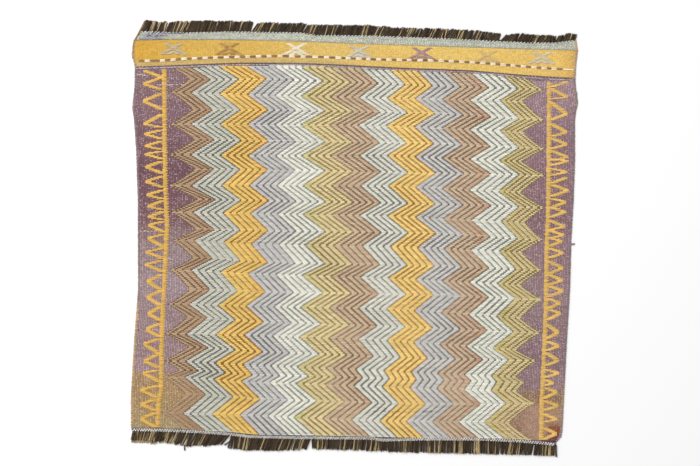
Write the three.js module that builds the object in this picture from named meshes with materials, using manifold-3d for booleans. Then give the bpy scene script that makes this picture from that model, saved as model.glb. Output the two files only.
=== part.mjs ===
// A flat-woven wool rug with a brocaded zigzag field and a cut fringe at both ends.
// Millimetres. X runs across the rug along its wefts, Y runs along its warps, Z is up from the floor.
import * as THREE from 'three';
import * as BufferGeometryUtils from 'three/addons/utils/BufferGeometryUtils.js';
import Module from 'manifold-3d';

const wasm = await Module();
wasm.setup();

// Heights above the floor
const GROUND_TOP = 2.2;
const RIDGE_TOP = 3.3;
const GROOVE_TOP = 1.9;
const MOTIF_TOP = 3.1;
const EDGE_TOP = 1.6;
const STRIP_TOP = 2.3;
const MOTIF_SEAT = 1.0;

// How far in from a selvage, and how far up from the foot, the cloth reaches its full thickness
const SELVAGE_WIDTH = 6;
const FOOT_SHARE = 0.85;

// Points across each border, and passes that follow a weft line out to its selvage
const BORDER_STEPS = 3;
const SELVAGE_PASSES = 4;

// Clear space between two pieces, and the distance under which two corners are one
const PIECE_GAP = 0.3;
const WELD = 1e-4;

// Point of the underside that sees the whole outline
const UNDERSIDE_HUB = [24, 16];

// The selvages, from head to foot: [y, x]
const LEFT_SELVAGE = [
  [353, -398], [329.5, -400.5], [309.5, -395], [277, -395], [234, -399.5], [212.5, -396], [158.5, -392.5],
  [68.5, -389.5], [-93.5, -389], [-138.5, -392.5], [-183.5, -396], [-241, -399.5], [-291.5, -402], [-342, -401.5],
];
const RIGHT_SELVAGE = [
  [356.5, 398], [338.5, 401.5], [317, 398.5], [288, 397], [273.5, 395], [263, 399.5], [241, 401.5], [223, 396],
  [140.5, 396], [68.5, 393.5], [-3.5, 389.5], [-93.5, 387], [-183.5, 381.5], [-255.5, 378], [-345.5, 373.5],
  [-358, 371], [-367, 363],
];

// Lines that run across the rug, each [x, y]: where the weaver changed from one band to the next
const HEAD_ROOTS = [
  [-386, 371.5], [-305, 369], [-224, 371], [-98, 369], [-71, 364.5], [28, 363.5], [154, 359], [244, 354.5],
  [316, 351], [361, 351], [388, 354.5], [398, 356.5],
];
const PALE_LINE = [
  [-398, 355.5], [-350, 357], [-224, 356.5], [-98, 353.5], [-8, 350], [118, 345.5], [238.5, 342], [335.5, 338.5],
  [401.5, 337.5],
];
const FIELD_LINE = [
  [-395, 308], [-350, 309.5], [-278, 312.5], [-206, 315], [-116, 315], [-44, 312.5], [82, 306], [208, 301.5],
  [280, 295], [352, 289], [397, 287],
];
const FOOT_LINE = [
  [-401.5, -341.5], [-341, -341.5], [-278, -346], [-206, -350], [-170, -354], [-98, -355], [-44, -355.5],
  [28, -357.5], [118, -359.5], [208, -359], [298, -362], [343, -365.5], [363, -368],
];
const FOOT_ROOTS = [
  [-400.5, -346.5], [-341, -347.5], [-278, -350.5], [-224, -354.5], [-188, -359], [-98, -361], [28, -362],
  [55, -365.5], [118, -363.5], [226, -363.5], [298, -367], [348.5, -371.5], [362.5, -374.5],
];

// Cut lines of the fringes, each [x, y]
const HEAD_CUT = [
  [-375.5, 394], [-341, 390.5], [-278, 392.5], [-188, 391.5], [-177.5, 389], [-98, 388], [-76.5, 385], [19, 384.5],
  [82, 380], [154, 378], [226, 374.5], [262, 369], [271, 366.5], [298, 370], [334, 365.5], [370, 365.5],
  [384.5, 369], [404, 367],
];
const FOOT_CUT = [
  [-404, -365.5], [-368, -367], [-341, -369], [-305, -376], [-278, -374.5], [-242, -374.5], [-220.5, -380],
  [-188, -383.5], [-134, -385], [-98, -381.5], [-76.5, -380], [-26, -382.5], [46, -385], [136, -387],
  [226, -389], [298, -390.5], [362.5, -392.5],
];

// Sideways lean of the fringe's tips, each [x of the root, lean]
const HEAD_LEAN = [
  [-386, 11], [-345, 6], [-300, 12], [-235, 6], [-185, 9], [-100, 9], [10, 6], [60, 11], [150, 7], [250, 9],
  [320, 11], [355, 4], [380, 6], [398, 4],
];
const FOOT_LEAN = [
  [-400, -3], [-340, -9], [-305, -14], [-246, -20], [-218, -4], [-180, -6], [-140, -12], [-98, -6], [-60, -2],
  [20, -4], [60, -1], [250, 0], [300, -6], [363, -1],
];

// Places where the fringe parts: [x, width]
const HEAD_PARTS = [[-359, 4], [-240, 4], [-188, 7], [163, 6], [258, 7], [361, 7]];
const FOOT_PARTS = [[-232, 12], [-78, 9]];

// A lock of fringe: width and height at its root and at its tip
const LOCK_PITCH = 5.5;
const LOCK_ROOT = { width: 3.8, height: 1.9 };
const LOCK_TIP = { width: 2.4, height: 1.2 };
const LOCK_SEAT = 1.5;

// The zigzag. Four ribs make a stripe and a rib keeps its number from head to foot.
// The first stripe on the left is one rib short.
const STRIPES = 13;
const RIBS_PER_STRIPE = 4;
const FIRST_RIB = 1;
const LAST_RIB = STRIPES * RIBS_PER_STRIPE;

// Ribs whose turning points are listed below, at the turns to the west and to the east
const WEST_RIBS = [8, 32, 44];
const EAST_RIBS = [12, 36, 52];

// Turning points [x, y] of those ribs, from head to foot. The last turn east is where the field ends.
const TURNS = [
  { west: [[-241, 308.5], [66.5, 302.5], [213.5, 296]], east: [[-159.5, 287], [139, 274], [341, 266.5]] },
  { west: [[-241.5, 258.5], [61, 251.5], [210, 248.5]], east: [[-156.5, 231], [144, 224.5], [343, 211.5]] },
  { west: [[-241, 204.5], [59, 202.5], [209.5, 195.5]], east: [[-155.5, 174.5], [141.5, 170], [343.5, 159.5]] },
  { west: [[-240.5, 147.5], [61, 148.5], [209.5, 142]], east: [[-157.5, 123], [145, 117], [343, 113.5]] },
  { west: [[-237.5, 94.5], [63, 94], [209, 86.5]], east: [[-155.5, 67], [144, 61.5], [343.5, 54.5]] },
  { west: [[-235, 45], [61, 40], [212.5, 32.5]], east: [[-156.5, 13.5], [145.5, 8.5], [340, -4]] },
  { west: [[-234, -10], [66.5, -15], [211.5, -21.5]], east: [[-157, -44], [142.5, -50], [338, -58]] },
  { west: [[-240.5, -62.5], [63, -71.5], [208.5, -79.5]], east: [[-161, -97], [141.5, -102], [338, -110.5]] },
  { west: [[-244, -121.5], [60, -127], [207.5, -137.5]], east: [[-165, -151], [139.5, -162], [335.5, -170.5]] },
  { west: [[-248.5, -172], [60.5, -183.5], [203, -194.5]], east: [[-166.5, -205], [130, -216.5], [328.5, -220]] },
  { west: [[-250, -225], [55, -238], [200.5, -245.5]], east: [[-184.5, -246.5], [110, -254], [307, -259.5]] },
  { west: [[-252, -255.5], [52, -267.5], [200, -272.5]], east: [[-170.5, -290], [127, -299], [325, -297]] },
  { west: [[-254.5, -315.5], [47.5, -329], [190, -331]], east: [[-175.5, -353], [121.5, -360], [321.5, -364.5]] },
];

// Ribs beyond the field whose height gives the row lines at the two selvages
const LEFT_OUTER_RIB = -4;
const RIGHT_OUTER_RIB = 57;

// Ladders: the middle of the rail, each [y, x], and its width
const RAIL_WIDTH = 9;
const LEFT_RAIL = [
  [304, -342.5], [176.5, -342], [86.5, -340.5], [23.5, -337.5], [-21.5, -339.5], [-75.5, -342], [-129.5, -345],
  [-183.5, -347], [-237.5, -348], [-273.5, -348.5], [-291.5, -352.5], [-338, -354.5],
];
const RIGHT_RAIL = [
  [281, 350], [194.5, 349.5], [86.5, 349], [32.5, 347.5], [-21.5, 345.5], [-111.5, 344.5], [-165.5, 342.5],
  [-219.5, 340.5], [-255.5, 338.5], [-291.5, 336.5], [-359, 335.5],
];

// Teeth of the ladders: [x of the tip, y of the tip, y of the upper root or null, y of the lower root]
const TOOTH = { root: 4.2, tip: 2.4 };
const LEFT_TEETH = [
  [-380, 301.5, null, 290], [-380, 276.5, 288, 268], [-380, 246.5, 259, 232], [-379, 204.5, 221.5, 200],
  [-378, 187, 193.5, 179], [-377, 165.5, 173.5, 160], [-377, 151, 155, 143], [-376, 128, 137, 117],
  [-375.5, 101.5, 110.5, 92], [-373.5, 77.5, 85.5, 71], [-371.5, 56.5, 66.5, 52], [-371.5, 38, 47, 33.5],
  [-371, 23.5, 29, 11], [-371.5, 0, 5.5, -16], [-375.5, -25, -19, -36], [-377, -47.5, -41.5, -59.5],
  [-373.5, -77.5, -66.5, -93.5], [-373.5, -106, -95.5, -120.5], [-371.5, -136, -124, -147.5],
  [-374.5, -164.5, -154, -176.5], [-379, -190, -182, -207], [-379, -221.5, -209, -232],
  [-380.5, -242, null, -257.5], [-385, -272.5, -266.5, -286], [-384.5, -299, -290, -309.5],
  [-384.5, -325, -315, -337],
];
const RIGHT_TEETH = [
  [384.5, 281.5, null, 272.5], [383.5, 253, 268, 251], [382.5, 223, 243, 213.5], [382.5, 190, 205, 183.5],
  [382.5, 168.5, 179, 161], [384.5, 145, 156.5, 140.5], [384.5, 138.5, null, 131.5], [382.5, 119, 124, 113.5],
  [382.5, 109, null, 99], [384.5, 85.5, 95.5, 75.5], [380.5, 65, 70, 54], [380, 47.5, null, 38],
  [379, 20.5, 30.5, 15.5], [377, 5.5, 12.5, 0], [373.5, -5.5, null, -14.5], [376, -27, -19, -35],
  [375.5, -54, -43, -63], [374.5, -76.5, -66.5, -83], [375.5, -95.5, -86.5, -104.5], [370, -117, -110, -126],
  [371, -135, -129.5, -146.5], [367, -170, -156.5, -180], [368, -194.5, -186.5, -201.5],
  [367, -220.5, -207, -228.5], [368, -243, -237.5, -250], [358, -261, -255.5, -264.5],
  [364.5, -276.5, -270, -288], [366.5, -301.5, -293.5, -309.5], [364.5, -326.5, -317, -330.5],
  [363.5, -352, -342, -358],
];

// Crossed motifs in the yellow band: where each is, and the ends of its two bars measured from its middle
const CROSS_PLACES = [
  [-326, 343], [-229.5, 343], [-101.5, 341.5], [10, 336.5], [119.5, 332], [238.5, 329.5], [337, 325.5],
];
const CROSS_BARS = [
  { from: [-17, 9], to: [21, -11] },
  { from: [17, 9], to: [-21, -11] },
];
const CROSS_LINE = { start: 4.2, end: 4.8 };

// Straight-line reading of a table of [input, output] rows, held at its two ends
function readTable(table, input) {
  const rising = table[0][0] < table[table.length - 1][0];
  const rows = rising ? table : [...table].reverse();
  if (input <= rows[0][0]) return rows[0][1];
  for (let i = 1; i < rows.length; i += 1) {
    const [low, lowValue] = rows[i - 1];
    const [high, highValue] = rows[i];
    if (input <= high) return lowValue + ((highValue - lowValue) * (input - low)) / (high - low);
  }
  return rows[rows.length - 1][1];
}

// Position of a rib at one turn: straight lines between the listed ribs, carried on past the first and last
function ribAtTurn(ribs, points, rib) {
  const next = rib < ribs[1] ? 1 : 2;
  const share = (rib - ribs[next - 1]) / (ribs[next] - ribs[next - 1]);
  return [0, 1].map((axis) => points[next - 1][axis] + share * (points[next][axis] - points[next - 1][axis]));
}

function mixPoints(a, b, share) {
  return [a[0] + share * (b[0] - a[0]), a[1] + share * (b[1] - a[1])];
}

// The weft lines of the cloth's top. Each gives the place of a rib, and the level at any x beside the ribs.
function weftLines() {
  const first = TURNS[0].west;
  const last = TURNS[TURNS.length - 1];
  const turnLine = (ribs, points) => {
    const at = (rib) => ribAtTurn(ribs, points, rib);
    return { at, level: (x) => (x < 0 ? at(LEFT_OUTER_RIB) : at(RIGHT_OUTER_RIB))[1] };
  };
  const tableLine = (table, ribX, shift, kind) => {
    const level = (x) => readTable(table, x) + shift;
    return { at: (rib) => [ribX(rib), level(ribX(rib))], level, ...kind };
  };
  const headX = (rib) => ribAtTurn(WEST_RIBS, first, rib)[0];
  const footX = (rib) => ribAtTurn(EAST_RIBS, last.east, rib)[0];
  const lines = [
    tableLine(PALE_LINE, headX, 0, { outer: true }),
    tableLine(PALE_LINE, headX, -SELVAGE_WIDTH, { flat: true }),
    tableLine(FIELD_LINE, headX, 0, { flat: true }),
  ];
  TURNS.forEach((turn) => {
    lines.push(turnLine(WEST_RIBS, turn.west));
    if (turn !== last) lines.push(turnLine(EAST_RIBS, turn.east));
  });
  const west = lines[lines.length - 1];
  const foot = tableLine(FOOT_LINE, footX, 0, { outer: true });
  lines.push({
    at: (rib) => mixPoints(west.at(rib), foot.at(rib), FOOT_SHARE),
    level: (x) => west.level(x) + FOOT_SHARE * (foot.level(x) - west.level(x)),
  });
  lines.push(foot);
  return lines;
}

// Height of the cloth over one point of a weft line: a ridge in the middle of each rib, a groove on each side
function topHeight(line, step) {
  if (line.outer) return EDGE_TOP;
  if (line.flat) return GROUND_TOP;
  return step % 2 === 0 ? GROOVE_TOP : RIDGE_TOP;
}

// Where a weft line meets a selvage, found by following the line's level out to it
function selvageEnd(line, selvage, guess) {
  let end = [guess, line.level(guess)];
  for (let pass = 0; pass < SELVAGE_PASSES; pass += 1) {
    const x = readTable(selvage, end[1]);
    end = [x, line.level(x)];
  }
  return end;
}

// The border between a selvage and the outermost rib: points from the selvage inwards
function borderPoints(line, end, rib, inwards) {
  const ground = line.outer ? EDGE_TOP : GROUND_TOP;
  const inner = [end[0] + inwards * SELVAGE_WIDTH, line.level(end[0] + inwards * SELVAGE_WIDTH)];
  const points = [[...end, EDGE_TOP], [...inner, ground]];
  for (let k = 1; k <= BORDER_STEPS; k += 1) {
    const [x, y] = mixPoints(inner, rib, k / (BORDER_STEPS + 1));
    points.push([x, line.outer || line.flat ? line.level(x) : y, ground]);
  }
  return points;
}

// One row of points across the cloth: a selvage, the ribs with their ridges, and the other selvage
function weftRow(line) {
  const ribs = [];
  for (let step = 0; step <= 2 * (LAST_RIB - FIRST_RIB); step += 1) {
    ribs.push([...line.at(FIRST_RIB + step / 2), topHeight(line, step)]);
  }
  const leftEnd = selvageEnd(line, LEFT_SELVAGE, LEFT_SELVAGE[0][1]);
  const rightEnd = selvageEnd(line, RIGHT_SELVAGE, RIGHT_SELVAGE[0][1]);
  const left = borderPoints(line, leftEnd, ribs[0], 1);
  const right = borderPoints(line, rightEnd, ribs[ribs.length - 1], -1).reverse();
  return [...left, ...ribs, ...right];
}

// The closed mesh under a grid of top points: walls down to the floor and a flat underside
function slabFromGrid(rows) {
  const width = rows[0].length;
  const points = rows.flat();
  const faces = [];
  for (let i = 0; i < rows.length - 1; i += 1) {
    for (let j = 0; j < width - 1; j += 1) {
      const a = i * width + j;
      faces.push([a, a + width, a + width + 1], [a, a + width + 1, a + 1]);
    }
  }
  const last = rows.length - 1;
  const rim = [];
  for (let j = 0; j < width; j += 1) rim.push(j);
  for (let i = 1; i <= last; i += 1) rim.push(i * width + width - 1);
  for (let j = width - 2; j >= 0; j -= 1) rim.push(last * width + j);
  for (let i = last - 1; i > 0; i -= 1) rim.push(i * width);
  const base = points.length;
  rim.forEach((index) => points.push([points[index][0], points[index][1], 0]));
  rim.forEach((index, k) => {
    const next = (k + 1) % rim.length;
    faces.push([index, rim[next], base + next], [index, base + next, base + k]);
  });
  const hub = points.length;
  points.push([...UNDERSIDE_HUB, 0]);
  rim.forEach((_, k) => faces.push([hub, base + k, base + ((k + 1) % rim.length)]));
  return solidFromArrays(points, faces);
}

function solidFromArrays(points, faces) {
  return new wasm.Manifold(new wasm.Mesh({
    numProp: 3,
    vertProperties: new Float32Array(points.flat()),
    triVerts: new Uint32Array(faces.flat()),
  }));
}

// A flat outline raised from one height to another, as a solid ready to be joined
function prism(outline, low, high) {
  const shape = new THREE.Shape(outline.map(([x, y]) => new THREE.Vector2(x, y)));
  const geometry = new THREE.ExtrudeGeometry(shape, { depth: high - low, bevelEnabled: false });
  geometry.translate(0, 0, low);
  geometry.deleteAttribute('normal');
  geometry.deleteAttribute('uv');
  const merged = BufferGeometryUtils.mergeVertices(geometry, WELD);
  return new wasm.Manifold(new wasm.Mesh({
    numProp: 3,
    vertProperties: new Float32Array(merged.attributes.position.array),
    triVerts: new Uint32Array(merged.index.array),
  }));
}

// A straight bar seen from above, with its own width at each end
function barOutline(from, to, startWidth, endWidth) {
  const along = new THREE.Vector2(to[0] - from[0], to[1] - from[1]).normalize();
  const side = new THREE.Vector2(-along.y, along.x);
  const corner = (point, width) => [point[0] + (side.x * width) / 2, point[1] + (side.y * width) / 2];
  return [corner(from, -startWidth), corner(to, -endWidth), corner(to, endWidth), corner(from, startWidth)];
}

// A ladder: a rail and the two arms of each of its teeth, raised over the border
function ladder(rail, teeth, outwards) {
  const half = RAIL_WIDTH / 2;
  const right = rail.map(([y, x]) => [x + half, y]);
  const left = rail.map(([y, x]) => [x - half, y]).reverse();
  const parts = [prism([...right, ...left], MOTIF_SEAT, MOTIF_TOP)];
  teeth.forEach(([tipX, tipY, upperY, lowerY]) => {
    [upperY, lowerY].filter((rootY) => rootY !== null).forEach((rootY) => {
      const root = [readTable(rail, rootY) + outwards, rootY];
      parts.push(prism(barOutline(root, [tipX, tipY], TOOTH.root, TOOTH.tip), MOTIF_SEAT, MOTIF_TOP));
    });
  });
  return parts;
}

function crosses() {
  return CROSS_PLACES.flatMap(([x, y]) => CROSS_BARS.map(({ from, to }) => prism(
    barOutline([x + from[0], y + from[1]], [x + to[0], y + to[1]], CROSS_LINE.start, CROSS_LINE.end),
    MOTIF_SEAT,
    MOTIF_TOP,
  )));
}

function cloth(rows) {
  const slab = slabFromGrid(rows);
  const motifs = [...ladder(LEFT_RAIL, LEFT_TEETH, -1), ...ladder(RIGHT_RAIL, RIGHT_TEETH, 1), ...crosses()];
  return wasm.Manifold.union([slab, ...motifs]);
}

// The outline of the strip that holds a fringe: from the cloth's edge, with a gap, out to the roots
function stripOutline(roots, seam, gap) {
  const outer = roots.map(([x, y]) => [x, y]);
  const inner = seam.map(([x, y]) => [x, y + gap]).reverse();
  return [...outer, ...inner];
}

// A lock of warp ends lying on the floor: three sides, level underneath, narrowing to its cut tip
function lock(root, tip, direction) {
  const seat = [root[0], root[1] - direction * LOCK_SEAT];
  const ends = [{ at: seat, ...LOCK_ROOT }, { at: tip, ...LOCK_TIP }];
  const points = ends.flatMap(({ at, width, height }) => [
    [at[0] - width / 2, at[1], 0],
    [at[0] + width / 2, at[1], 0],
    [at[0], at[1], height],
  ]);
  const faces = [[0, 1, 2], [3, 5, 4]];
  for (let side = 0; side < 3; side += 1) {
    const next = (side + 1) % 3;
    faces.push([side, side + 3, next + 3], [side, next + 3, next]);
  }
  return solidFromArrays(points, direction > 0 ? faces : faces.map(([a, b, c]) => [a, c, b]));
}

// Push of a tip away from the places where the fringe parts
function partingPush(parts, x) {
  return parts.reduce((sum, [place, width]) => {
    const distance = x - place;
    return sum + Math.sign(distance || 1) * (width / 2) * Math.exp(-Math.abs(distance) / (2 * LOCK_PITCH));
  }, 0);
}

function fringe({ roots, seam, cut, lean, parts, direction }) {
  const start = roots[0][0];
  const end = roots[roots.length - 1][0];
  const margin = LOCK_ROOT.width / 2;
  const count = Math.floor((end - start - 2 * margin) / LOCK_PITCH) + 1;
  const pitch = (end - start - 2 * margin) / (count - 1);
  const solids = [prism(stripOutline(roots, seam, direction * PIECE_GAP), 0, STRIP_TOP)];
  for (let i = 0; i < count; i += 1) {
    const x = start + margin + i * pitch;
    const tipX = x + readTable(lean, x) + partingPush(parts, x);
    solids.push(lock([x, readTable(roots, x)], [tipX, readTable(cut, tipX)], direction));
  }
  return wasm.Manifold.union(solids);
}

function meshFromSolid(solid, name, color, roughness) {
  const { vertProperties, triVerts } = solid.getMesh();
  const geometry = new THREE.BufferGeometry();
  geometry.setAttribute('position', new THREE.BufferAttribute(new Float32Array(vertProperties), 3));
  geometry.setIndex(new THREE.BufferAttribute(new Uint32Array(triVerts), 1));
  geometry.computeVertexNormals();
  const mesh = new THREE.Mesh(geometry, new THREE.MeshStandardMaterial({ color, roughness, metalness: 0 }));
  mesh.name = name;
  return mesh;
}

// The fringes take their seams from the first and the last weft line of the cloth
const weftRows = weftLines().map(weftRow);
const head = {
  roots: HEAD_ROOTS, seam: weftRows[0], cut: HEAD_CUT, lean: HEAD_LEAN, parts: HEAD_PARTS, direction: 1,
};
const foot = {
  roots: FOOT_ROOTS, seam: weftRows[weftRows.length - 1], cut: FOOT_CUT, lean: FOOT_LEAN, parts: FOOT_PARTS,
  direction: -1,
};

const rug = new THREE.Group();
rug.add(meshFromSolid(cloth(weftRows), 'rug_cloth', 0xc4b48c, 0.95));
rug.add(meshFromSolid(fringe(head), 'head_fringe', 0x3a2f26, 0.9));
rug.add(meshFromSolid(fringe(foot), 'foot_fringe', 0x3a2f26, 0.9));

// The rug's origin is the middle of its underside
const bounds = new THREE.Box3().setFromObject(rug);
const middle = bounds.getCenter(new THREE.Vector3());
rug.position.set(-middle.x, -middle.y, 0);
rug.updateMatrixWorld(true);

export default rug;
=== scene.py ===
"""The looks of a flat-woven wool rug: a brocaded zigzag field, ladders on its side borders, and a cut fringe.

The tables are in millimetres, x along the wefts and y up along the warps. WeavePlan carries them into the
frame's metres. Every yarn that floats on the face, and every hair of the fringe, is a mesh of its own.
"""
import logging
import math
import random
from dataclasses import dataclass, field
from enum import Enum
from typing import Any, Callable, Iterator, Sequence

import bpy
import numpy as np
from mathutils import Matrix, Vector


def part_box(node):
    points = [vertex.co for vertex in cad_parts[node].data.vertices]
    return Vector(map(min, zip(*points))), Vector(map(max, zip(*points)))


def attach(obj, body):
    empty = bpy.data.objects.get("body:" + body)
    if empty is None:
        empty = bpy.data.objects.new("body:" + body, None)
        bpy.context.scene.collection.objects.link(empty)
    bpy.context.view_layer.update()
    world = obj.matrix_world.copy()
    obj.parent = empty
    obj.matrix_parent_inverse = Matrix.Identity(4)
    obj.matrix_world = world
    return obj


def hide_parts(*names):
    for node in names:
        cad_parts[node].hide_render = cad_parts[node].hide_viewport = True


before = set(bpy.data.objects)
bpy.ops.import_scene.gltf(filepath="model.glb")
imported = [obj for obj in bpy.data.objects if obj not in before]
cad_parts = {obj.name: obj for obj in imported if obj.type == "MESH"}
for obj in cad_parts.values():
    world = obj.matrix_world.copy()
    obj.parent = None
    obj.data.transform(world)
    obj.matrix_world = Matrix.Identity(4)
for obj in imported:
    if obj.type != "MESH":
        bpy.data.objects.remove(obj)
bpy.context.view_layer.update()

log = logging.getLogger("rug")

Pair = tuple[float, float]
Point = tuple[float, float, float]
Table = Sequence[Sequence[float]]
Colour = Sequence[float]
Inputs = dict[int | str, Any]

MM = 0.001

# The selvages, from head to foot: [y, x]
LEFT_SELVAGE = [
    [353, -398], [329.5, -400.5], [309.5, -395], [277, -395], [234, -399.5], [212.5, -396], [158.5, -392.5],
    [68.5, -389.5], [-93.5, -389], [-138.5, -392.5], [-183.5, -396], [-241, -399.5], [-291.5, -402],
    [-342, -401.5],
]
RIGHT_SELVAGE = [
    [356.5, 398], [338.5, 401.5], [317, 398.5], [288, 397], [273.5, 395], [263, 399.5], [241, 401.5],
    [223, 396], [140.5, 396], [68.5, 393.5], [-3.5, 389.5], [-93.5, 387], [-183.5, 381.5], [-255.5, 378],
    [-345.5, 373.5], [-358, 371], [-367, 363],
]

# Lines across the rug: [x, y]
HEAD_ROOTS = [
    [-386, 371.5], [-305, 369], [-224, 371], [-98, 369], [-71, 364.5], [28, 363.5], [154, 359], [244, 354.5],
    [316, 351], [361, 351], [388, 354.5], [398, 356.5],
]
PALE_LINE = [
    [-398, 355.5], [-350, 357], [-224, 356.5], [-98, 353.5], [-8, 350], [118, 345.5], [238.5, 342],
    [335.5, 338.5], [401.5, 337.5],
]
DASH_LINE = [
    [-386, 318.5], [-341, 319.5], [-305, 322.5], [-224, 325.5], [-134, 327.5], [-44, 325], [28, 321.5],
    [154, 319], [229.5, 315], [305, 308.5], [341, 305.5], [397, 302.5],
]
FIELD_LINE = [
    [-395, 308], [-350, 309.5], [-278, 312.5], [-206, 315], [-116, 315], [-44, 312.5], [82, 306],
    [208, 301.5], [280, 295], [352, 289], [397, 287],
]
FOOT_LINE = [
    [-401.5, -341.5], [-341, -341.5], [-278, -346], [-206, -350], [-170, -354], [-98, -355], [-44, -355.5],
    [28, -357.5], [118, -359.5], [208, -359], [298, -362], [343, -365.5], [363, -368],
]
FOOT_ROOTS = [
    [-400.5, -346.5], [-341, -347.5], [-278, -350.5], [-224, -354.5], [-188, -359], [-98, -361], [28, -362],
    [55, -365.5], [118, -363.5], [226, -363.5], [298, -367], [348.5, -371.5], [362.5, -374.5],
]
HEAD_CUT = [
    [-375.5, 394], [-341, 390.5], [-278, 392.5], [-188, 391.5], [-177.5, 389], [-98, 388], [-76.5, 385],
    [19, 384.5], [82, 380], [154, 378], [226, 374.5], [262, 369], [271, 366.5], [298, 370], [334, 365.5],
    [370, 365.5], [384.5, 369], [404, 367],
]
FOOT_CUT = [
    [-404, -365.5], [-368, -367], [-341, -369], [-305, -376], [-278, -374.5], [-262, -376], [-243, -372],
    [-226, -380], [-188, -383.5], [-134, -385], [-98, -381.5], [-76.5, -380], [-26, -382.5], [46, -385],
    [136, -387], [226, -389], [298, -390.5], [362.5, -392.5],
]

# Sideways lean of the fringe: [x of the root, lean], and where it parts: [x, width]
HEAD_LEAN = [
    [-386, 11], [-345, 6], [-300, 12], [-235, 6], [-185, 9], [-100, 9], [10, 6], [60, 11], [150, 7],
    [250, 9], [320, 11], [355, 4], [380, 6], [398, 4],
]
FOOT_LEAN = [
    [-400, -3], [-340, -9], [-305, -12], [-265, -13], [-245, -17], [-224, -22], [-219, -3], [-180, -6],
    [-140, -12], [-98, -6], [-60, -2], [20, -4], [60, -1], [250, 0], [300, -6], [363, -1],
]
HEAD_PARTS = [[-359, 4], [-240, 4], [-188, 7], [163, 6], [258, 7], [361, 7]]
FOOT_PARTS = [[-78, 9]]

# Stretches with blond ends on them: [from x, to x, share of the warps, width beside a whole warp]
HEAD_BLOND = [
    [-372, -353, 0.6, 0.3], [-345, -340, 0.6, 0.3], [-329, -296, 0.45, 0.35], [-269, -264, 0.8, 0.3],
    [-229, -225, 0.8, 0.3], [-179, -172, 0.9, 0.3], [-161, -150, 0.6, 0.35], [-89, -67, 0.5, 0.3],
    [-43, -36, 0.8, 0.3], [13, 20, 0.8, 0.35], [31, 58, 0.45, 0.35], [90, 101, 0.8, 0.3],
    [155, 165, 0.8, 0.3], [182, 192, 0.8, 0.3], [216, 225, 0.8, 0.3], [317, 327, 0.7, 0.3],
    [338, 342, 0.9, 0.3],
]
FOOT_BLOND = [
    [-373, -369.5, 1, 0.25], [-364, -360.5, 1, 0.3], [-334, -330.5, 1, 0.5], [-321, -317.5, 1, 0.3],
    [-301, -297.5, 1, 0.25], [-284, -280.5, 1, 0.25], [-269, -265.5, 1, 0.2], [-207, -203.5, 1, 0.4],
    [-196, -190, 1, 0.45], [-163, -159.5, 1, 0.3], [-130, -125, 1, 0.45], [-108, -104, 1, 0.45],
    [-94, -91, 1, 0.45], [-66, -54, 0.7, 0.5], [-38, -27, 0.7, 0.3], [-22, -15, 0.8, 0.4],
    [-5, 10, 0.6, 0.3], [31, 43, 0.7, 0.35], [83, 97, 0.7, 0.35], [131, 137, 0.9, 0.35],
    [154, 158, 0.9, 0.3], [175, 197, 0.8, 0.35], [213, 226, 1, 0.4], [270, 288, 0.7, 0.4],
    [341, 354, 0.8, 0.35],
]

# Single strands that lie on their own: [x, y of the root, x, y of the tip]
HEAD_LONERS = [[-390, 362, -376, 392], [-384, 369, -373, 393]]
FOOT_LONERS = [
    [362.5, -372, 363.5, -394], [-220, -362, -233, -372.5], [-306, -372, -305, -382],
    [-392, -344, -397, -366],
]
# Blond ends that lie under the others and show past them: [from x, to x, how far]
FOOT_UNDER = [[-398, -350, 3.8], [-345, -336, 2.4]]
# How ragged the cut is, where 1 is all that a clump may differ: [x, share]
FOOT_RAGGED = [[40, 1], [80, 0.35], [363, 0.2]]

FIRST_RIB = 1
LAST_RIB = 52
RIBS_PER_STRIPE = 4
WEST_RIBS = [8, 32, 44]
EAST_RIBS = [12, 36, 52]
# Turning points [x, y] of those ribs, a row of three for each turn from head to foot
WEST_TURNS = [
    [[-241, 308.5], [66.5, 302.5], [213.5, 296]], [[-241.5, 258.5], [61, 251.5], [210, 248.5]],
    [[-241, 204.5], [59, 202.5], [209.5, 195.5]], [[-240.5, 147.5], [61, 148.5], [209.5, 142]],
    [[-237.5, 94.5], [63, 94], [209, 86.5]], [[-235, 45], [61, 40], [212.5, 32.5]],
    [[-234, -10], [66.5, -15], [211.5, -21.5]], [[-240.5, -62.5], [63, -71.5], [208.5, -79.5]],
    [[-244, -121.5], [60, -127], [207.5, -137.5]], [[-248.5, -172], [60.5, -183.5], [203, -194.5]],
    [[-250, -225], [55, -238], [200.5, -245.5]], [[-252, -255.5], [52, -267.5], [200, -272.5]],
    [[-254.5, -315.5], [47.5, -329], [190, -331]],
]
EAST_TURNS = [
    [[-159.5, 287], [139, 274], [341, 266.5]], [[-156.5, 231], [144, 224.5], [343, 211.5]],
    [[-155.5, 174.5], [141.5, 170], [343.5, 159.5]], [[-157.5, 123], [145, 117], [343, 113.5]],
    [[-155.5, 67], [144, 61.5], [343.5, 54.5]], [[-156.5, 13.5], [145.5, 8.5], [340, -4]],
    [[-157, -44], [142.5, -50], [338, -58]], [[-161, -97], [141.5, -102], [338, -110.5]],
    [[-165, -151], [139.5, -162], [335.5, -170.5]], [[-166.5, -205], [130, -216.5], [328.5, -220]],
    [[-184.5, -246.5], [110, -254], [307, -259.5]], [[-170.5, -290], [127, -299], [325, -297]],
    [[-175.5, -353], [121.5, -360], [321.5, -364.5]],
]
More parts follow.
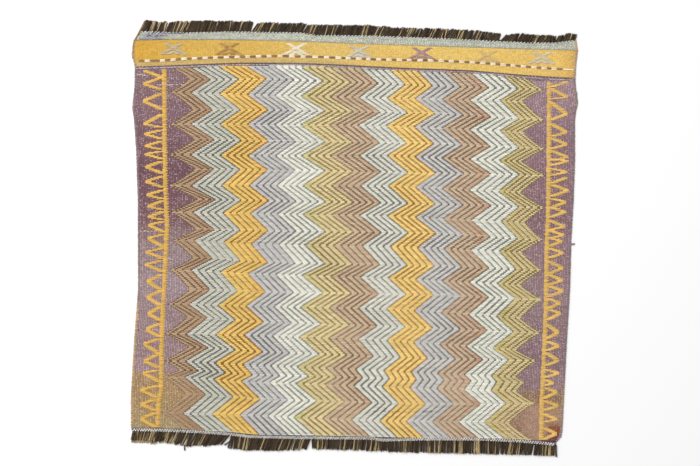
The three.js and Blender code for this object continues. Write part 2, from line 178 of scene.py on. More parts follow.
# How far the ribs between those listed reach past the straight line through them: [rib, x]
WEST_REACH = [
    [1, -4.5], [2, -8], [3, -6.3], [4, -3.7], [8, -1.9], [16, -2.6], [20, -6], [28, -2.8], [36, -2.2],
    [44, -3.2], [48, 0], [50, -3.8], [51, -5], [52, -7],
]
EAST_REACH = [
    [1, 3], [2, 4.5], [3, 3.6], [4, 1.7], [8, 1.6], [16, 0.8], [20, 4], [24, 4.6], [28, 3.1], [36, 1.2],
    [40, 2.2], [48, 1.2], [50, 2], [51, 3], [52, 0.5],
]
FOOT_REACH = [
    [1, 2], [4, 6], [8, 8], [12, 4], [16, 7], [20, 5], [24, 10], [28, 6], [32, 5], [36, 3], [40, 1],
    [48, -1], [52, 0],
]
# How much further the four outermost ribs on the left swing both ways at a height: [y, x]
LEFT_SWING = [[290, -4], [230, 0], [160, 1], [130, 6.5], [10, 6.5], [-20, 0]]
# How far rib 48 lies to the right of that at a height: [y, x]
RIGHT_SLANT = [[300, 3.0], [0, 1.0], [-360, -5.0]]
SLANTED_RIB = 48
# How far each turn rises at rib 4, left of rib 12, above the straight line through the others
WEST_RISES = (-3, 2, 0, 2.5, -1, 0.5, 5, 4, 1, -3.5, 1, 3.5, -2.5)
EAST_RISES = (-6.5, -2.7, 1.2, -1.2, 0.5, -0.4, 5.4, 2, 4, 4, 5.4, 5.6)
# How much the outermost ribs bend towards their points on the borders: 1 is straight
OUTER_BENDS = {1.0: 0.8, 2.0: 0.88, 3.0: 0.95, 50.0: 0.95, 51.0: 0.88, 52.0: 0.8}
LEFT_OUTER_RIB = -4
RIGHT_OUTER_RIB = 57

# Ladders: the middle of the rail [y, x], and the teeth [tip x, tip y, y of the upper root or None, of the
# lower one]
LEFT_RAIL = [
    [304, -342.5], [176.5, -342], [86.5, -340.5], [23.5, -337.5], [-21.5, -339.5], [-75.5, -342],
    [-129.5, -345], [-183.5, -347], [-237.5, -348], [-273.5, -348.5], [-291.5, -352.5], [-341, -354.5],
]
RIGHT_RAIL = [
    [281, 350], [194.5, 349.5], [86.5, 349], [32.5, 347.5], [-21.5, 345.5], [-111.5, 344.5], [-165.5, 342.5],
    [-219.5, 340.5], [-255.5, 338.5], [-291.5, 336.5], [-363, 335.5],
]
LEFT_TEETH = [
    [-380, 301.5, None, 290], [-380, 276.5, 288, 268], [-380, 246.5, 259, 232], [-379, 204.5, 221.5, 200],
    [-378, 187, 193.5, 179], [-377, 165.5, 173.5, 160], [-377, 151, 155, 143], [-376, 128, 137, 117],
    [-375.5, 101.5, 110.5, 92], [-373.5, 77.5, 85.5, 71], [-371.5, 56.5, 66.5, 52], [-371.5, 38, 47, 33.5],
    [-371, 23.5, 29, 11], [-371.5, 0, 5.5, -16], [-375.5, -25, -19, -36], [-377, -47.5, -41.5, -59.5],
    [-373.5, -77.5, -66.5, -93.5], [-373.5, -106, -95.5, -120.5], [-371.5, -136, -124, -147.5],
    [-374.5, -164.5, -154, -176.5], [-379, -190, -182, -207], [-379, -221.5, -209, -232],
    [-380.5, -242, -238.5, -257.5], [-385, -272.5, -266.5, -286], [-384.5, -299, -290, -309.5],
    [-384.5, -325, -315, -339.5],
]
RIGHT_TEETH = [
    [384.5, 281.5, None, 272.5], [383.5, 253, 268, 251], [382.5, 223, 243, 213.5],
    [382.5, 190, 205, 183.5], [382.5, 168.5, 179, 161], [384.5, 145, 156.5, 140.5],
    [384.5, 138.5, 141.5, 131.5], [382.5, 119, 124, 113.5], [382.5, 109, None, 99],
    [384.5, 85.5, 95.5, 75.5], [380.5, 65, 70, 54], [380, 47.5, 54, 38], [379, 20.5, 30.5, 15.5],
    [377, 5.5, 12.5, 0], [373.5, -5.5, -1, -14.5], [376, -27, -19, -35], [375.5, -54, -43, -63],
    [374.5, -76.5, -66.5, -83], [375.5, -95.5, -86.5, -104.5], [370, -117, -110, -126],
    [371, -135, -129.5, -146.5], [367, -170, -156.5, -180], [368, -194.5, -186.5, -201.5],
    [367, -220.5, -207, -228.5], [368, -243, -237.5, -250], [358, -261, -255.5, -264.5],
    [364.5, -276.5, -270, -288], [366.5, -301.5, -293.5, -309.5], [364.5, -326.5, -317, -330.5],
    [363.5, -352, -342, -361.5],
]


def linear(colour: Colour, alpha: float = 1.0) -> tuple[float, float, float, float]:
    """Turns screen values from 0 to 255 into linear light.

    Args:
        colour: Red, green and blue.
        alpha: What stands behind them.

    Returns:
        The three in linear light, and the alpha.
    """
    parts = [c / 255 for c in colour]
    light = [p / 12.92 if p <= 0.04045 else ((p + 0.055) / 1.055) ** 2.4 for p in parts]
    return (light[0], light[1], light[2], alpha)


def read(table: Table, value: float | np.ndarray) -> Any:
    """Reads a table of [input, output] rows along straight lines, held at its two ends.

    Args:
        table: Rows whose inputs rise, or fall, all the way.
        value: One input, or an array of them.

    Returns:
        The output, a float, or an array of outputs.
    """
    rows = np.array([row[:2] for row in table], float)
    if rows[0, 0] > rows[-1, 0]:
        rows = rows[::-1]
    return np.interp(value, rows[:, 0], rows[:, 1])


def mix(a: Pair, b: Pair, share: float) -> Pair:
    """The point at that share of the way from a to b."""
    return (a[0] + share * (b[0] - a[0]), a[1] + share * (b[1] - a[1]))


@dataclass(frozen=True)
class WeftLine:
    """One weft from selvage to selvage: the place of each rib on it, and its two ends.

    Args:
        knots: Points [x, y] from the left selvage to the right one.
        ribs: The rib number at each of those points.
    """

    knots: tuple[Pair, ...]
    ribs: tuple[float, ...]

    def height(self, x: float | np.ndarray) -> Any:
        """Its y at x."""
        return np.interp(x, [k[0] for k in self.knots], [k[1] for k in self.knots])

    def rib_at(self, x: np.ndarray) -> np.ndarray:
        """The rib number at each x."""
        return np.interp(x, [k[0] for k in self.knots], self.ribs)

    def place(self, rib: float) -> Pair:
        """Where a rib lies on this weft."""
        x = float(np.interp(rib, self.ribs, [k[0] for k in self.knots]))
        return (x, float(self.height(x)))

    def raised(self, by: float) -> "WeftLine":
        """The same weft, higher up the rug."""
        return WeftLine(tuple((x, y + by) for x, y in self.knots), self.ribs)

    def blended(self, other: "WeftLine", share: float, westward: bool | None = None) -> "WeftLine":
        """The weft at that share of the way to another one.

        Args:
            other: The weft at share 1.
            share: 0 to 1.
            westward: Whether the ribs run west from this weft to the other. The outermost ribs then bend, so
                that they meet the borders in long thin points. None keeps them straight.

        Returns:
            The weft between the two.
        """
        knots = []
        for rib, a, b in zip(self.ribs, self.knots, other.knots):
            x, y = mix(a, b, share)
            if westward is not None:
                to_west = share if westward else 1 - share
                power = OUTER_BENDS.get(rib, 1.0)
                if rib < RIBS_PER_STRIPE:
                    to_west = 1 - (1 - to_west) ** power
                else:
                    to_west = to_west ** power
                x = mix(a, b, to_west if westward else 1 - to_west)[0]
            knots.append((x, y))
        return WeftLine(tuple(knots), self.ribs)


@dataclass(frozen=True)
class BrocadedWeft:
    """One brocaded weft, and the two lines between which it lies with its neighbours.

    Args:
        line: The weft itself.
        above: The line on the head side.
        below: The line on the foot side.
        count: How many wefts share the room between those lines.
        east: How far it lies from a west turn towards an east one, 0 to 1.
    """

    line: WeftLine
    above: WeftLine
    below: WeftLine
    count: int
    east: float

    def pitch(self, x: float) -> float:
        """Room that the weft has along the warps at x."""
        return float(self.above.height(x) - self.below.height(x)) / self.count

    def shift(self, rib: int) -> float:
        """How far a rib runs sideways within this weft's height."""
        return abs(self.above.place(rib)[0] - self.below.place(rib)[0]) / self.count


@dataclass
class WeavePlan:
    """Where every rib and weft of the rug lies, from the tables at the top.

    Args:
        row_pitch: Distance between two brocaded wefts.
        warp_pitch: Distance between two warps.
        head_wefts: Wefts that there can be over the first turn.
        head_clearance: Room for the lines between the head band and the field.
        key_ribs: The ribs whose place is worked out at each turn.
        settling: Rounds in which the end of a weft settles on its selvage.
        lines: The wefts at the head edge, the field's start, every turn and the foot.
        shift: How far the tables lie from the frame.
    """

    row_pitch: float = 2.4
    warp_pitch: float = 3.07
    head_wefts: int = 3
    head_clearance: float = 4.6
    key_ribs: tuple[int, ...] = (1, 2, 3, 4, 8, 12, 16, 20, 24, 28, 32, 36, 40, 44, 48, 50, 51, 52)
    settling: int = 4
    lines: list[WeftLine] = field(default_factory=list)
    shift: Pair = (0.0, 0.0)

    FIELD_START = 1
    FIRST_TURN = 2
    # The rise of a turn's left end fades out over these ribs
    RISE_END = 12
    RISE_SPAN = 8

    def __post_init__(self) -> None:
        """Works out the weft lines and how far the tables lie from the frame."""
        self.lines += [self.table_line(table, WEST_TURNS[0], WEST_RIBS) for table in (PALE_LINE, FIELD_LINE)]
        west = [self.turn_line(points, WEST_RIBS, rise) for points, rise in zip(WEST_TURNS, WEST_RISES)]
        east = [self.turn_line(points, EAST_RIBS, rise) for points, rise in zip(EAST_TURNS, EAST_RISES)]
        east.append(self.table_line(FOOT_LINE, EAST_TURNS[-1], EAST_RIBS, FOOT_REACH))
        self.lines += [line for pair in zip(west, east) for line in pair]
        knots = np.array([knot for line in self.lines for knot in line.knots])
        low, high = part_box("rug_cloth")
        middle = (knots.min(0) + knots.max(0)) / 2
        self.shift = ((low.x + high.x) / 2 - middle[0] * MM, (low.y + high.y) / 2 - middle[1] * MM)

    @property
    def last_line(self) -> int:
        """Number of the weft line at the foot."""
        return len(self.lines) - 1

    @staticmethod
    def at_turn(points: Table, ribs: Sequence[int], rib: float) -> Pair:
        """Place of a rib at a turn, between the listed ribs or carried on past them."""
        i = 0 if rib < ribs[1] else 1
        return mix(points[i], points[i + 1], (rib - ribs[i]) / (ribs[i + 1] - ribs[i]))

    def ended(self, inner: list[Pair], level: Callable[[float], float]) -> WeftLine:
        """A weft line through the key ribs, with its ends on the selvages.

        Args:
            inner: The place of each key rib.
            level: Gives the y of its ends at an x.

        Returns:
            The weft line.
        """
        ends = []
        for selvage in (LEFT_SELVAGE, RIGHT_SELVAGE):
            x = selvage[0][1]
            for _ in range(self.settling):
                x = read(selvage, level(x))
            ends.append((x, float(level(x))))
        ribs = map(float, (LEFT_OUTER_RIB, *self.key_ribs, RIGHT_OUTER_RIB))
        return WeftLine((ends[0], *inner, ends[1]), tuple(ribs))

    def turn_line(self, points: Table, ribs: Sequence[int], rise: float) -> WeftLine:
        """The weft through one row of turning points.

        Args:
            points: The points.
            ribs: Their rib numbers.
            rise: How far the row rises at its left end.

        Returns:
            The weft, from selvage to selvage.
        """
        left = self.at_turn(points, ribs, LEFT_OUTER_RIB)[1] + rise
        right = self.at_turn(points, ribs, RIGHT_OUTER_RIB)[1]
        westward = ribs is WEST_RIBS
        reached = []
        for rib in self.key_ribs:
            x, y = self.at_turn(points, ribs, rib)
            x += read(WEST_REACH if westward else EAST_REACH, rib)
            if rib <= RIBS_PER_STRIPE:
                swing = read(LEFT_SWING, y) * (0.5 if rib == RIBS_PER_STRIPE else 1)
                x += -swing if westward else swing
            if rib == SLANTED_RIB:
                x += read(RIGHT_SLANT, y)
            reached.append((x, y + rise * min(max((self.RISE_END - rib) / self.RISE_SPAN, 0), 1)))
        return self.ended(reached, lambda x: left if x < 0 else right)

    def table_line(self, table: Table, points: Table, ribs: Sequence[int], reach: Table = ((0, 0), (1, 0))
                   ) -> WeftLine:
        """A weft whose height comes from a table, with its ribs in line with one row of turning points.

        Args:
            table: Its height: [x, y].
            points: The turning points.
            ribs: Their rib numbers.
            reach: How far each rib lies from that line.

        Returns:
            The weft, from selvage to selvage.
        """
        xs = [self.at_turn(points, ribs, rib)[0] + read(reach, rib) for rib in self.key_ribs]
        return self.ended([(x, read(table, x)) for x in xs], lambda x: read(table, x))

    def weft(self, position: float) -> WeftLine:
        """The weft at a position: 0 is the head edge, and each line further on adds 1."""
        i = min(int(position), self.last_line - 1)
        return self.lines[i].blended(self.lines[i + 1], position - i, self.runs_west(i))

    def runs_west(self, index: int) -> bool | None:
        """Whether the ribs run west from one line to the next, or None where they don't turn."""
        return (index - self.FIRST_TURN) % 2 == 1 if index >= self.FIRST_TURN else None

    def brocaded_wefts(self) -> Iterator[BrocadedWeft]:
        """Lists the wefts of the field.

        Returns:
            Every brocaded weft, from head to foot.
        """
        top = self.lines[self.FIRST_TURN]
        for k in range(self.head_wefts, 0, -1):
            above, below = top.raised(k * self.row_pitch), top.raised((k - 1) * self.row_pitch)
            yield BrocadedWeft(above.blended(below, 0.5), above, below, 1, 0.0)
        for index in range(self.FIRST_TURN, self.last_line):
            above, below = self.lines[index], self.lines[index + 1]
            drop = float(np.mean([a[1] - b[1] for a, b in zip(above.knots, below.knots)]))
            count = max(1, round(drop / self.row_pitch))
            west = bool(self.runs_west(index))
            for i in range(count):
                share = (i + 0.5) / count
                line = above.blended(below, share, west)
                yield BrocadedWeft(line, above, below, count, 1 - share if west else share)

    def has_brocade(self, x: float, y: float) -> bool:
        """Whether a point lies clear of the lines that close the head band."""
        return y < self.lines[self.FIELD_START].height(x) - self.head_clearance

    def to_frame(self, x: float, y: float, z: float) -> Point:
        """A point of the tables, and a height in millimetres, in the frame's metres."""
        return (x * MM + self.shift[0], y * MM + self.shift[1], z * MM)


@dataclass(frozen=True)
class Dye:
    """A dyed yarn.

    Args:
        face: Its faded face.
        accent: The other shade found in it.
        shade: The dark that shows between its floats: dark ground, with painted shadow of the floats' ends in
            it.
    """

    face: Colour
    accent: Colour
    shade: Colour = (0, 0, 0)


class Stripe(Enum):
    """The thirteen stripes, from left to right: number, dye, and accent in each of their four ribs."""

    # The third colour of each dye is its dark ground, with painted shadow of the floats' ends in it
    BROWN = (1, Dye((190, 162, 130), (178, 136, 106), (112, 84, 62)), (0.1, 0.1, 0.25, 0.8))
    CELADON = (2, Dye((208, 207, 192), (206, 196, 200), (92, 90, 80)), (0.4, 0.15, 0.1, 0.3))
    YELLOW_LEFT = (3, Dye((236, 202, 118), (234, 180, 102), (134, 86, 28)), (0.1, 0.25, 0.3, 0.5))
    LAVENDER_LEFT = (4, Dye((208, 206, 200), (196, 186, 196), (90, 86, 86)), (0.5, 0.25, 0.15, 0.3))
    WHITE = (5, Dye((236, 235, 222), (222, 210, 212), (122, 120, 108)), (0.25, 0.1, 0.1, 0.2))
    OLIVE_LEFT = (6, Dye((230, 210, 162), (206, 202, 132), (122, 104, 60)), (0.8, 0.4, 0.15, 0.1))
    ROSE_TAN = (7, Dye((213, 190, 160), (196, 154, 130), (114, 88, 62)), (0.2, 0.3, 0.3, 0.7))
    CELADON_PALE = (8, Dye((229, 226, 214), (204, 212, 196), (102, 100, 90)), (0.4, 0.2, 0.1, 0.2))
    YELLOW_RIGHT = (9, Dye((245, 213, 134), (240, 194, 124), (142, 94, 36)), (0.15, 0.3, 0.3, 0.2))
    LAVENDER_RIGHT = (10, Dye((214, 211, 204), (202, 190, 198), (94, 90, 90)), (0.5, 0.25, 0.15, 0.35))
    TAN = (11, Dye((213, 190, 162), (197, 148, 120), (110, 84, 60)), (0.2, 0.2, 0.4, 0.8))
    IVORY = (12, Dye((238, 236, 223), (212, 222, 208), (112, 112, 100)), (0.4, 0.15, 0.1, 0.25))
    OLIVE_RIGHT = (13, Dye((223, 203, 156), (207, 194, 108), (124, 106, 62)), (0.85, 0.5, 0.2, 0.3))

    @property
    def number(self) -> int:
        """Place of the stripe, counted from the left."""
        return self.value[0]

    @property
    def dye(self) -> Dye:
        """The stripe's yarn."""
        return self.value[1]

    @property
    def blush(self) -> tuple[float, ...]:
        """How much of the accent may be in each of its four ribs."""
        return self.value[2]

    @property
    def ribs(self) -> range:
        """The ribs that this stripe is made of."""
        return range(max(FIRST_RIB, RIBS_PER_STRIPE * (self.number - 1)), RIBS_PER_STRIPE * self.number)


@dataclass(frozen=True)
class Wire:
    """A value in a node tree, whose operators add the Math nodes that work with it.

    Args:
        graph: The tree's graph.
        socket: The output socket that gives the value.
    """

    graph: "Graph"
    socket: bpy.types.NodeSocket

    @property
    def is_vector(self) -> bool:
        """Whether it is a vector or a colour."""
        return self.socket.type in {"VECTOR", "RGBA"}

    def __add__(self, other: Any) -> "Wire":
        """This plus the other."""
        return self.graph.math("ADD", self, other)

    def __radd__(self, other: Any) -> "Wire":
        """The other plus this."""
        return self.graph.math("ADD", other, self)

    def __sub__(self, other: Any) -> "Wire":
        """This less the other."""
        return self.graph.math("SUBTRACT", self, other)

    def __rsub__(self, other: Any) -> "Wire":
        """The other less this."""
        return self.graph.math("SUBTRACT", other, self)

    def __truediv__(self, other: Any) -> "Wire":
        """This over the other."""
        return self.graph.math("DIVIDE", self, other)

    def __mul__(self, other: Any) -> "Wire":
        """This times the other.

        Args:
            other: A number, or for a vector also a tuple, which works on each part of it.

        Returns:
            The product.
        """
        if self.is_vector and not isinstance(other, tuple):
            return self.graph.take("ShaderNodeVectorMath", {0: self, "Scale": other}, operation="SCALE")
        return self.graph.math("MULTIPLY", self, other)


class Graph:
    """A node tree with short ways to add nodes, set their sockets and link them."""

    def __init__(self, tree: bpy.types.NodeTree) -> None:
        """Works on that tree."""
        self.tree = tree

    @staticmethod
    def socket(sockets: Any, key: int | str) -> bpy.types.NodeSocket:
        """The socket with that index, or the first one in use with that name."""
        named = (socket for socket in sockets if socket.name == key and socket.enabled)
        return sockets[key] if isinstance(key, int) else next(named)

    def put(self, node: bpy.types.Node, inputs: Inputs) -> None:
        """Links a node's inputs to wires, or sets them to plain values.

        Args:
            node: The node.
            inputs: Wires or values for its inputs, by index or name.
        """
        for key, value in inputs.items():
            target = self.socket(node.inputs, key)
            if isinstance(value, Wire):
                self.tree.links.new(value.socket, target)
            else:
                target.default_value = value

    def add(self, kind: str, inputs: Inputs | None = None, **settings: Any) -> bpy.types.Node:
        """Adds a node.

        Args:
            kind: The node's type name.
            inputs: Wires or values for its inputs, by index or name.
            settings: Properties of the node, set before its inputs.

        Returns:
            The new node.
        """
        node = self.tree.nodes.new(kind)
        for name, value in settings.items():
            setattr(node, name, value)
        self.put(node, inputs or {})
        return node

    def outputs(self, kind: str, inputs: Inputs | None = None, **settings: Any) -> dict[str, Wire]:
        """Adds a node, and gives its outputs in use by name."""
        return {s.name: Wire(self, s) for s in self.add(kind, inputs, **settings).outputs if s.enabled}

    def take(self, kind: str, inputs: Inputs | None = None, output: int | str = 0, **settings: Any) -> Wire:
        """Adds a node, and gives one of its outputs by index or name."""
        return Wire(self, self.socket(self.add(kind, inputs, **settings).outputs, output))

    def math(self, operation: str, *values: Any) -> Wire:
        """Adds a Math node, or a Vector Math node where the first value is a vector.

        Args:
            operation: What it does.
            values: The wires or numbers that it does it to.

        Returns:
            The result.
        """
        is_vector = isinstance(values[0], Wire) and values[0].is_vector
        kind = "ShaderNodeVectorMath" if is_vector else "ShaderNodeMath"
        return self.take(kind, dict(enumerate(values)), operation=operation)

    def noise(self, place: Wire, scale: float = 1.0, detail: float = 1.0, output: int | str = 0) -> Wire:
        """Smooth noise at a place."""
        return self.take("ShaderNodeTexNoise", {"Vector": place, "Scale": scale, "Detail": detail}, output)

    def combined(self, *parts: Any) -> Wire:
        """A vector of its parts."""
        return self.take("ShaderNodeCombineXYZ", dict(enumerate(parts)))

    def random(self, low: Any, high: Any, seed: Any) -> Wire:
        """A random value for each element.

        Args:
            low: The least that it can be, a number or a triple.
            high: The most.
            seed: Its seed.

        Returns:
            The value, a number or a vector as low is.
        """
        kind = "FLOAT_VECTOR" if isinstance(low, tuple) else "FLOAT"
        inputs = {"Min": low, "Max": high, "Seed": seed}
        return self.take("FunctionNodeRandomValue", inputs, "Value", data_type=kind)

    def named(self, name: str) -> Wire:
        """The number that a geometry tree finds under that name on each element."""
        return self.take("GeometryNodeInputNamedAttribute", {"Name": name}, "Attribute", data_type="FLOAT")

    def tube(self, curve: Wire, radius: Wire, sides: int, size: Any) -> Wire:
        """Sweeps a ring along a curve.

        Args:
            curve: The curve.
            radius: How thick the tube is along it, beside the ring.
            sides: Corners of the ring.
            size: Radius of the ring.

        Returns:
            The closed tube.
        """
        ring = self.take("GeometryNodeCurvePrimitiveCircle", {"Resolution": sides, "Radius": size})
        sized = self.take("GeometryNodeSetCurveRadius", {"Curve": curve, "Radius": radius})
        inputs = {"Curve": sized, "Profile Curve": ring, "Fill Caps": True}
        return self.take("GeometryNodeCurveToMesh", inputs)


@dataclass
class Guides:
    """Edges for a form to grow yarns or hairs on, with values for each edge.

    Args:
        plan: The weave plan.
        points: Both ends of each edge, in the frame.
        values: The values of the edges, by name.
    """

    plan: WeavePlan
    points: list[Point] = field(default_factory=list)
    values: dict[str, list[float]] = field(default_factory=dict)

    def add(self, start: Point, end: Point, **values: float) -> None:
        """Adds one edge.

        Args:
            start: Where it starts, in the tables' millimetres.
            end: Where it ends.
            values: Its values, by name.
        """
        self.points += [self.plan.to_frame(*start), self.plan.to_frame(*end)]
        for name, value in values.items():
            self.values.setdefault(name, []).append(value)

    def mesh(self, name: str) -> bpy.types.Mesh:
        """The edges as a mesh.

        Args:
            name: The mesh's name.

        Returns:
            The mesh, with the values on both points of each edge.
        """
        mesh = bpy.data.meshes.new(name)
        mesh.from_pydata(self.points, [(i, i + 1) for i in range(0, len(self.points), 2)], [])
        for label, values in self.values.items():
            layer = mesh.attributes.new(label, "FLOAT", "POINT")
            layer.data.foreach_set("value", np.repeat(np.array(values, np.float32), 2))
        return mesh


@dataclass
class Net(Guides):
    """Runs of yarn on the face of the cloth.

    Args:
        rng: Random numbers for the runs laid by chance.
    """

    rng: random.Random = field(kw_only=True)

    def lay(self, start: Pair, end: Pair, seat: float, pitch: float, tone: float, tint: float) -> None:
        """Adds one run.

        Args:
            start: Its left end.
            end: Its right end.
            seat: Height of its two ends above the floor.
            pitch: Room that it has across its length.
            tone: Its brightness beside its neighbours.
            tint: Share of the dye's accent in it.
        """
        self.add((*start, seat), (*end, seat), pitch=pitch * MM, tone=tone, tint=tint)

    def lay_uneven(self, start: Pair, end: Pair, seat: float, pitch: float, tones: Pair,
                   rarity: int = 2) -> None:
        """Adds one run with a tone and a tint of chance.

        Args:
            start: Its left end.
            end: Its right end.
            seat: Height of its two ends above the floor.
            pitch: Room that it has across its length.
            tones: How far its tone may lie below and above 1.
            rarity: Power that keeps the accent rare.
        """
        tone = 1 + self.rng.uniform(*tones)
        self.lay(start, end, seat, pitch, tone, self.rng.random() ** rarity)


class NodeForm:
    """A Geometry Nodes tree with named inputs, run on guides to make a plain piece."""

    name = "form"
    sizes: dict[str, float] = {}

    def __init__(self) -> None:
        """Builds the tree with a geometry input, the sizes, a seed and a finish."""
        self.tree = bpy.data.node_groups.new(self.name, "GeometryNodeTree")
        face = self.tree.interface
        face.new_socket("Guides", in_out="INPUT", socket_type="NodeSocketGeometry")
        for size, value in self.sizes.items():
            face.new_socket(size, in_out="INPUT", socket_type="NodeSocketFloat").default_value = value
        face.new_socket("Seed", in_out="INPUT", socket_type="NodeSocketInt")
        face.new_socket("Finish", in_out="INPUT", socket_type="NodeSocketMaterial")
        face.new_socket("Piece", in_out="OUTPUT", socket_type="NodeSocketGeometry")
        graph = Graph(self.tree)
        given = graph.outputs("NodeGroupInput")
        real = graph.take("GeometryNodeRealizeInstances", {"Geometry": self.build(graph, given)})
        smooth = graph.take("GeometryNodeSetShadeSmooth", {"Geometry": real})
        graph.add("NodeGroupOutput", {
            0: graph.take("GeometryNodeSetMaterial", {"Geometry": smooth, "Material": given["Finish"]}),
        })

    def build(self, graph: Graph, given: dict[str, Wire]) -> Wire:
        """Adds the nodes between the inputs and the finish.

        Args:
            graph: The tree's graph.
            given: What its inputs give, by name.

        Returns:
            The geometry.
        """
        raise NotImplementedError

    def grow(self, name: str, guides: Guides, finish: bpy.types.Material, seed: int,
             **sizes: float) -> bpy.types.Object:
        """Runs the tree on guides and keeps the result as a plain mesh.

        Args:
            name: Name of the piece.
            guides: What the tree works on.
            finish: The piece's material.
            seed: Seed for what is random in it.
            sizes: Inputs that differ from their defaults, by name with underscores for spaces.

        Returns:
            The piece, with no modifier on it.
        """
        start = guides.mesh(name + "_guides")
        piece = bpy.data.objects.new(name, start)
        bpy.context.scene.collection.objects.link(piece)
        maker = piece.modifiers.new("maker", "NODES")
        maker.node_group = self.tree
        values: dict[str, Any] = {key.replace("_", " "): value for key, value in sizes.items()}
        values.update(Seed=seed, Finish=finish)
        for item in self.tree.interface.items_tree:
            if item.item_type == "SOCKET" and item.in_out == "INPUT" and item.name in values:
                maker[item.identifier] = values[item.name]
        view = bpy.context.evaluated_depsgraph_get()
        mesh = bpy.data.meshes.new_from_object(piece.evaluated_get(view))
        piece.modifiers.remove(maker)
        piece.data = mesh
        mesh.name = name
        bpy.data.meshes.remove(start)
        lay_flat_map(mesh)
        log.info("%s: %s on %d guides", name, self.name, len(guides.points) // 2)
        return piece


def lay_flat_map(mesh: bpy.types.Mesh) -> None:
    """Gives a mesh a map named OFBake, laid flat as seen from straight above.

    Args:
        mesh: The mesh.
    """
    places = np.empty(len(mesh.vertices) * 3, np.float32)
    mesh.vertices.foreach_get("co", places)
    flat = places.reshape(-1, 3)[:, :2]
    low, span = flat.min(0), np.ptp(flat, axis=0)
    lay_map(mesh, "OFBake", (flat - low) / span)


def lay_map(mesh: bpy.types.Mesh, name: str, spots: np.ndarray) -> None:
    """Gives a mesh a map.

    Args:
        mesh: The mesh.
        name: The map's name.
        spots: Where each of the mesh's points lies on it.
    """
    corners = np.empty(len(mesh.loops), np.int32)
    mesh.loops.foreach_get("vertex_index", corners)
    layer = mesh.uv_layers.new(name=name)
    layer.uv.foreach_set("vector", spots[corners].astype(np.float32).ravel())


class LaidYarns(NodeForm):
    """One arched yarn on every edge of a net, its ends diving into the cloth."""

    name = "laid_yarns"
    sizes = {
        "Thickness": 0.0014, "Rise": 0.0014, "End gap": 0.00085, "Cover": 1.02, "Point": 0.62,
        "Unevenness": 0.08,
    }

    # How far a yarn may lie off its place, each way
    OFFSET = (0.0003, 0.0001, 0.00006)
    # Share of the yarns that touch the next one, how open the others are, and what every end leaves open
    TOUCHING = 0.14
    OPENING = (0.9, 1.85)
    LEAST_OPENING = 0.4
    # Least share of a run that its yarn covers
    LEAST_LENGTH = 0.35
    POINTS = 4
    SIDES = 5
    # Radius at the middle, where the radius of the ends is Point
    CROWN = 1.04
    # What is added to the seed for each random value
    TOUCH_SEED, HEIGHT_SEED, WIDTH_SEED = 41, 11, 23

    def build(self, graph: Graph, given: dict[str, Wire]) -> Wire:
        """Lays a unit yarn on the middle of each edge, turned and stretched along it.

        Args:
            graph: The tree's graph.
            given: What its inputs give, by name.

        Returns:
            The yarns.
        """
        ends = graph.outputs("GeometryNodeInputMeshEdgeVertices")
        caught = graph.add("GeometryNodeCaptureAttribute", domain="EDGE")
        caught.capture_items.new("VECTOR", "Run")
        graph.put(caught, {0: given["Guides"], 1: ends["Position 2"] - ends["Position 1"]})
        net, run = (Wire(graph, output) for output in caught.outputs[:2])
        spots = graph.take("GeometryNodeMeshToPoints", {"Mesh": net}, mode="EDGES")
        seed = given["Seed"]
        offset = graph.random(tuple(-part for part in self.OFFSET), self.OFFSET, seed)
        moved = graph.take("GeometryNodeSetPosition", {"Geometry": spots, "Offset": offset})
        length = graph.take("ShaderNodeVectorMath", {0: run}, "Value", operation="LENGTH")
        parted = graph.math("GREATER_THAN", graph.random(0.0, 1.0, seed + self.TOUCH_SEED), self.TOUCHING)
        gaps = given["End gap"] * (parted * graph.random(*self.OPENING, seed) + self.LEAST_OPENING)
        visible = graph.math("MAXIMUM", length - gaps, length * self.LEAST_LENGTH)
        spread = (1.0 - given["Unevenness"], 1.0 + given["Unevenness"])
        height = given["Thickness"] * graph.random(*spread, seed + self.HEIGHT_SEED)
        width = graph.named("pitch") * given["Cover"] * graph.random(*spread, seed + self.WIDTH_SEED)
        return graph.take("GeometryNodeInstanceOnPoints", {
            "Points": moved,
            "Instance": self.unit_yarn(graph, given),
            "Rotation": graph.take("FunctionNodeAlignRotationToVector", {"Vector": run}, axis="X"),
            "Scale": graph.combined(visible, width, height),
        })

    def unit_yarn(self, graph: Graph, given: dict[str, Wire]) -> Wire:
        """Makes the yarn that is laid on every edge.

        Args:
            graph: The tree's graph.
            given: What its inputs give, by name.

        Returns:
            A closed arched yarn one unit long, wide and thick, with its own places on it as "yarn".
        """
        line = graph.take("GeometryNodeCurvePrimitiveLine", {"Start": (-0.5, 0, 0), "End": (0.5, 0, 0)})
        steps = graph.take("GeometryNodeResampleCurve", {"Curve": line, "Count": self.POINTS})
        where = graph.take("GeometryNodeInputPosition")
        swing = graph.outputs("ShaderNodeSeparateXYZ", {0: where})["X"] * 2.0
        arch = 1.0 - swing * swing
        radius = given["Point"] + arch * (self.CROWN - given["Point"])
        tube = graph.tube(steps, radius, self.SIDES, 0.5)
        up = graph.take("ShaderNodeCombineXYZ", {2: arch * (given["Rise"] / given["Thickness"])})
        arched = graph.take("GeometryNodeSetPosition", {"Geometry": tube, "Offset": up})
        kept = {"Geometry": arched, "Name": "yarn", "Value": where}
        return graph.take("GeometryNodeStoreNamedAttribute", kept, data_type="FLOAT_VECTOR", domain="POINT")


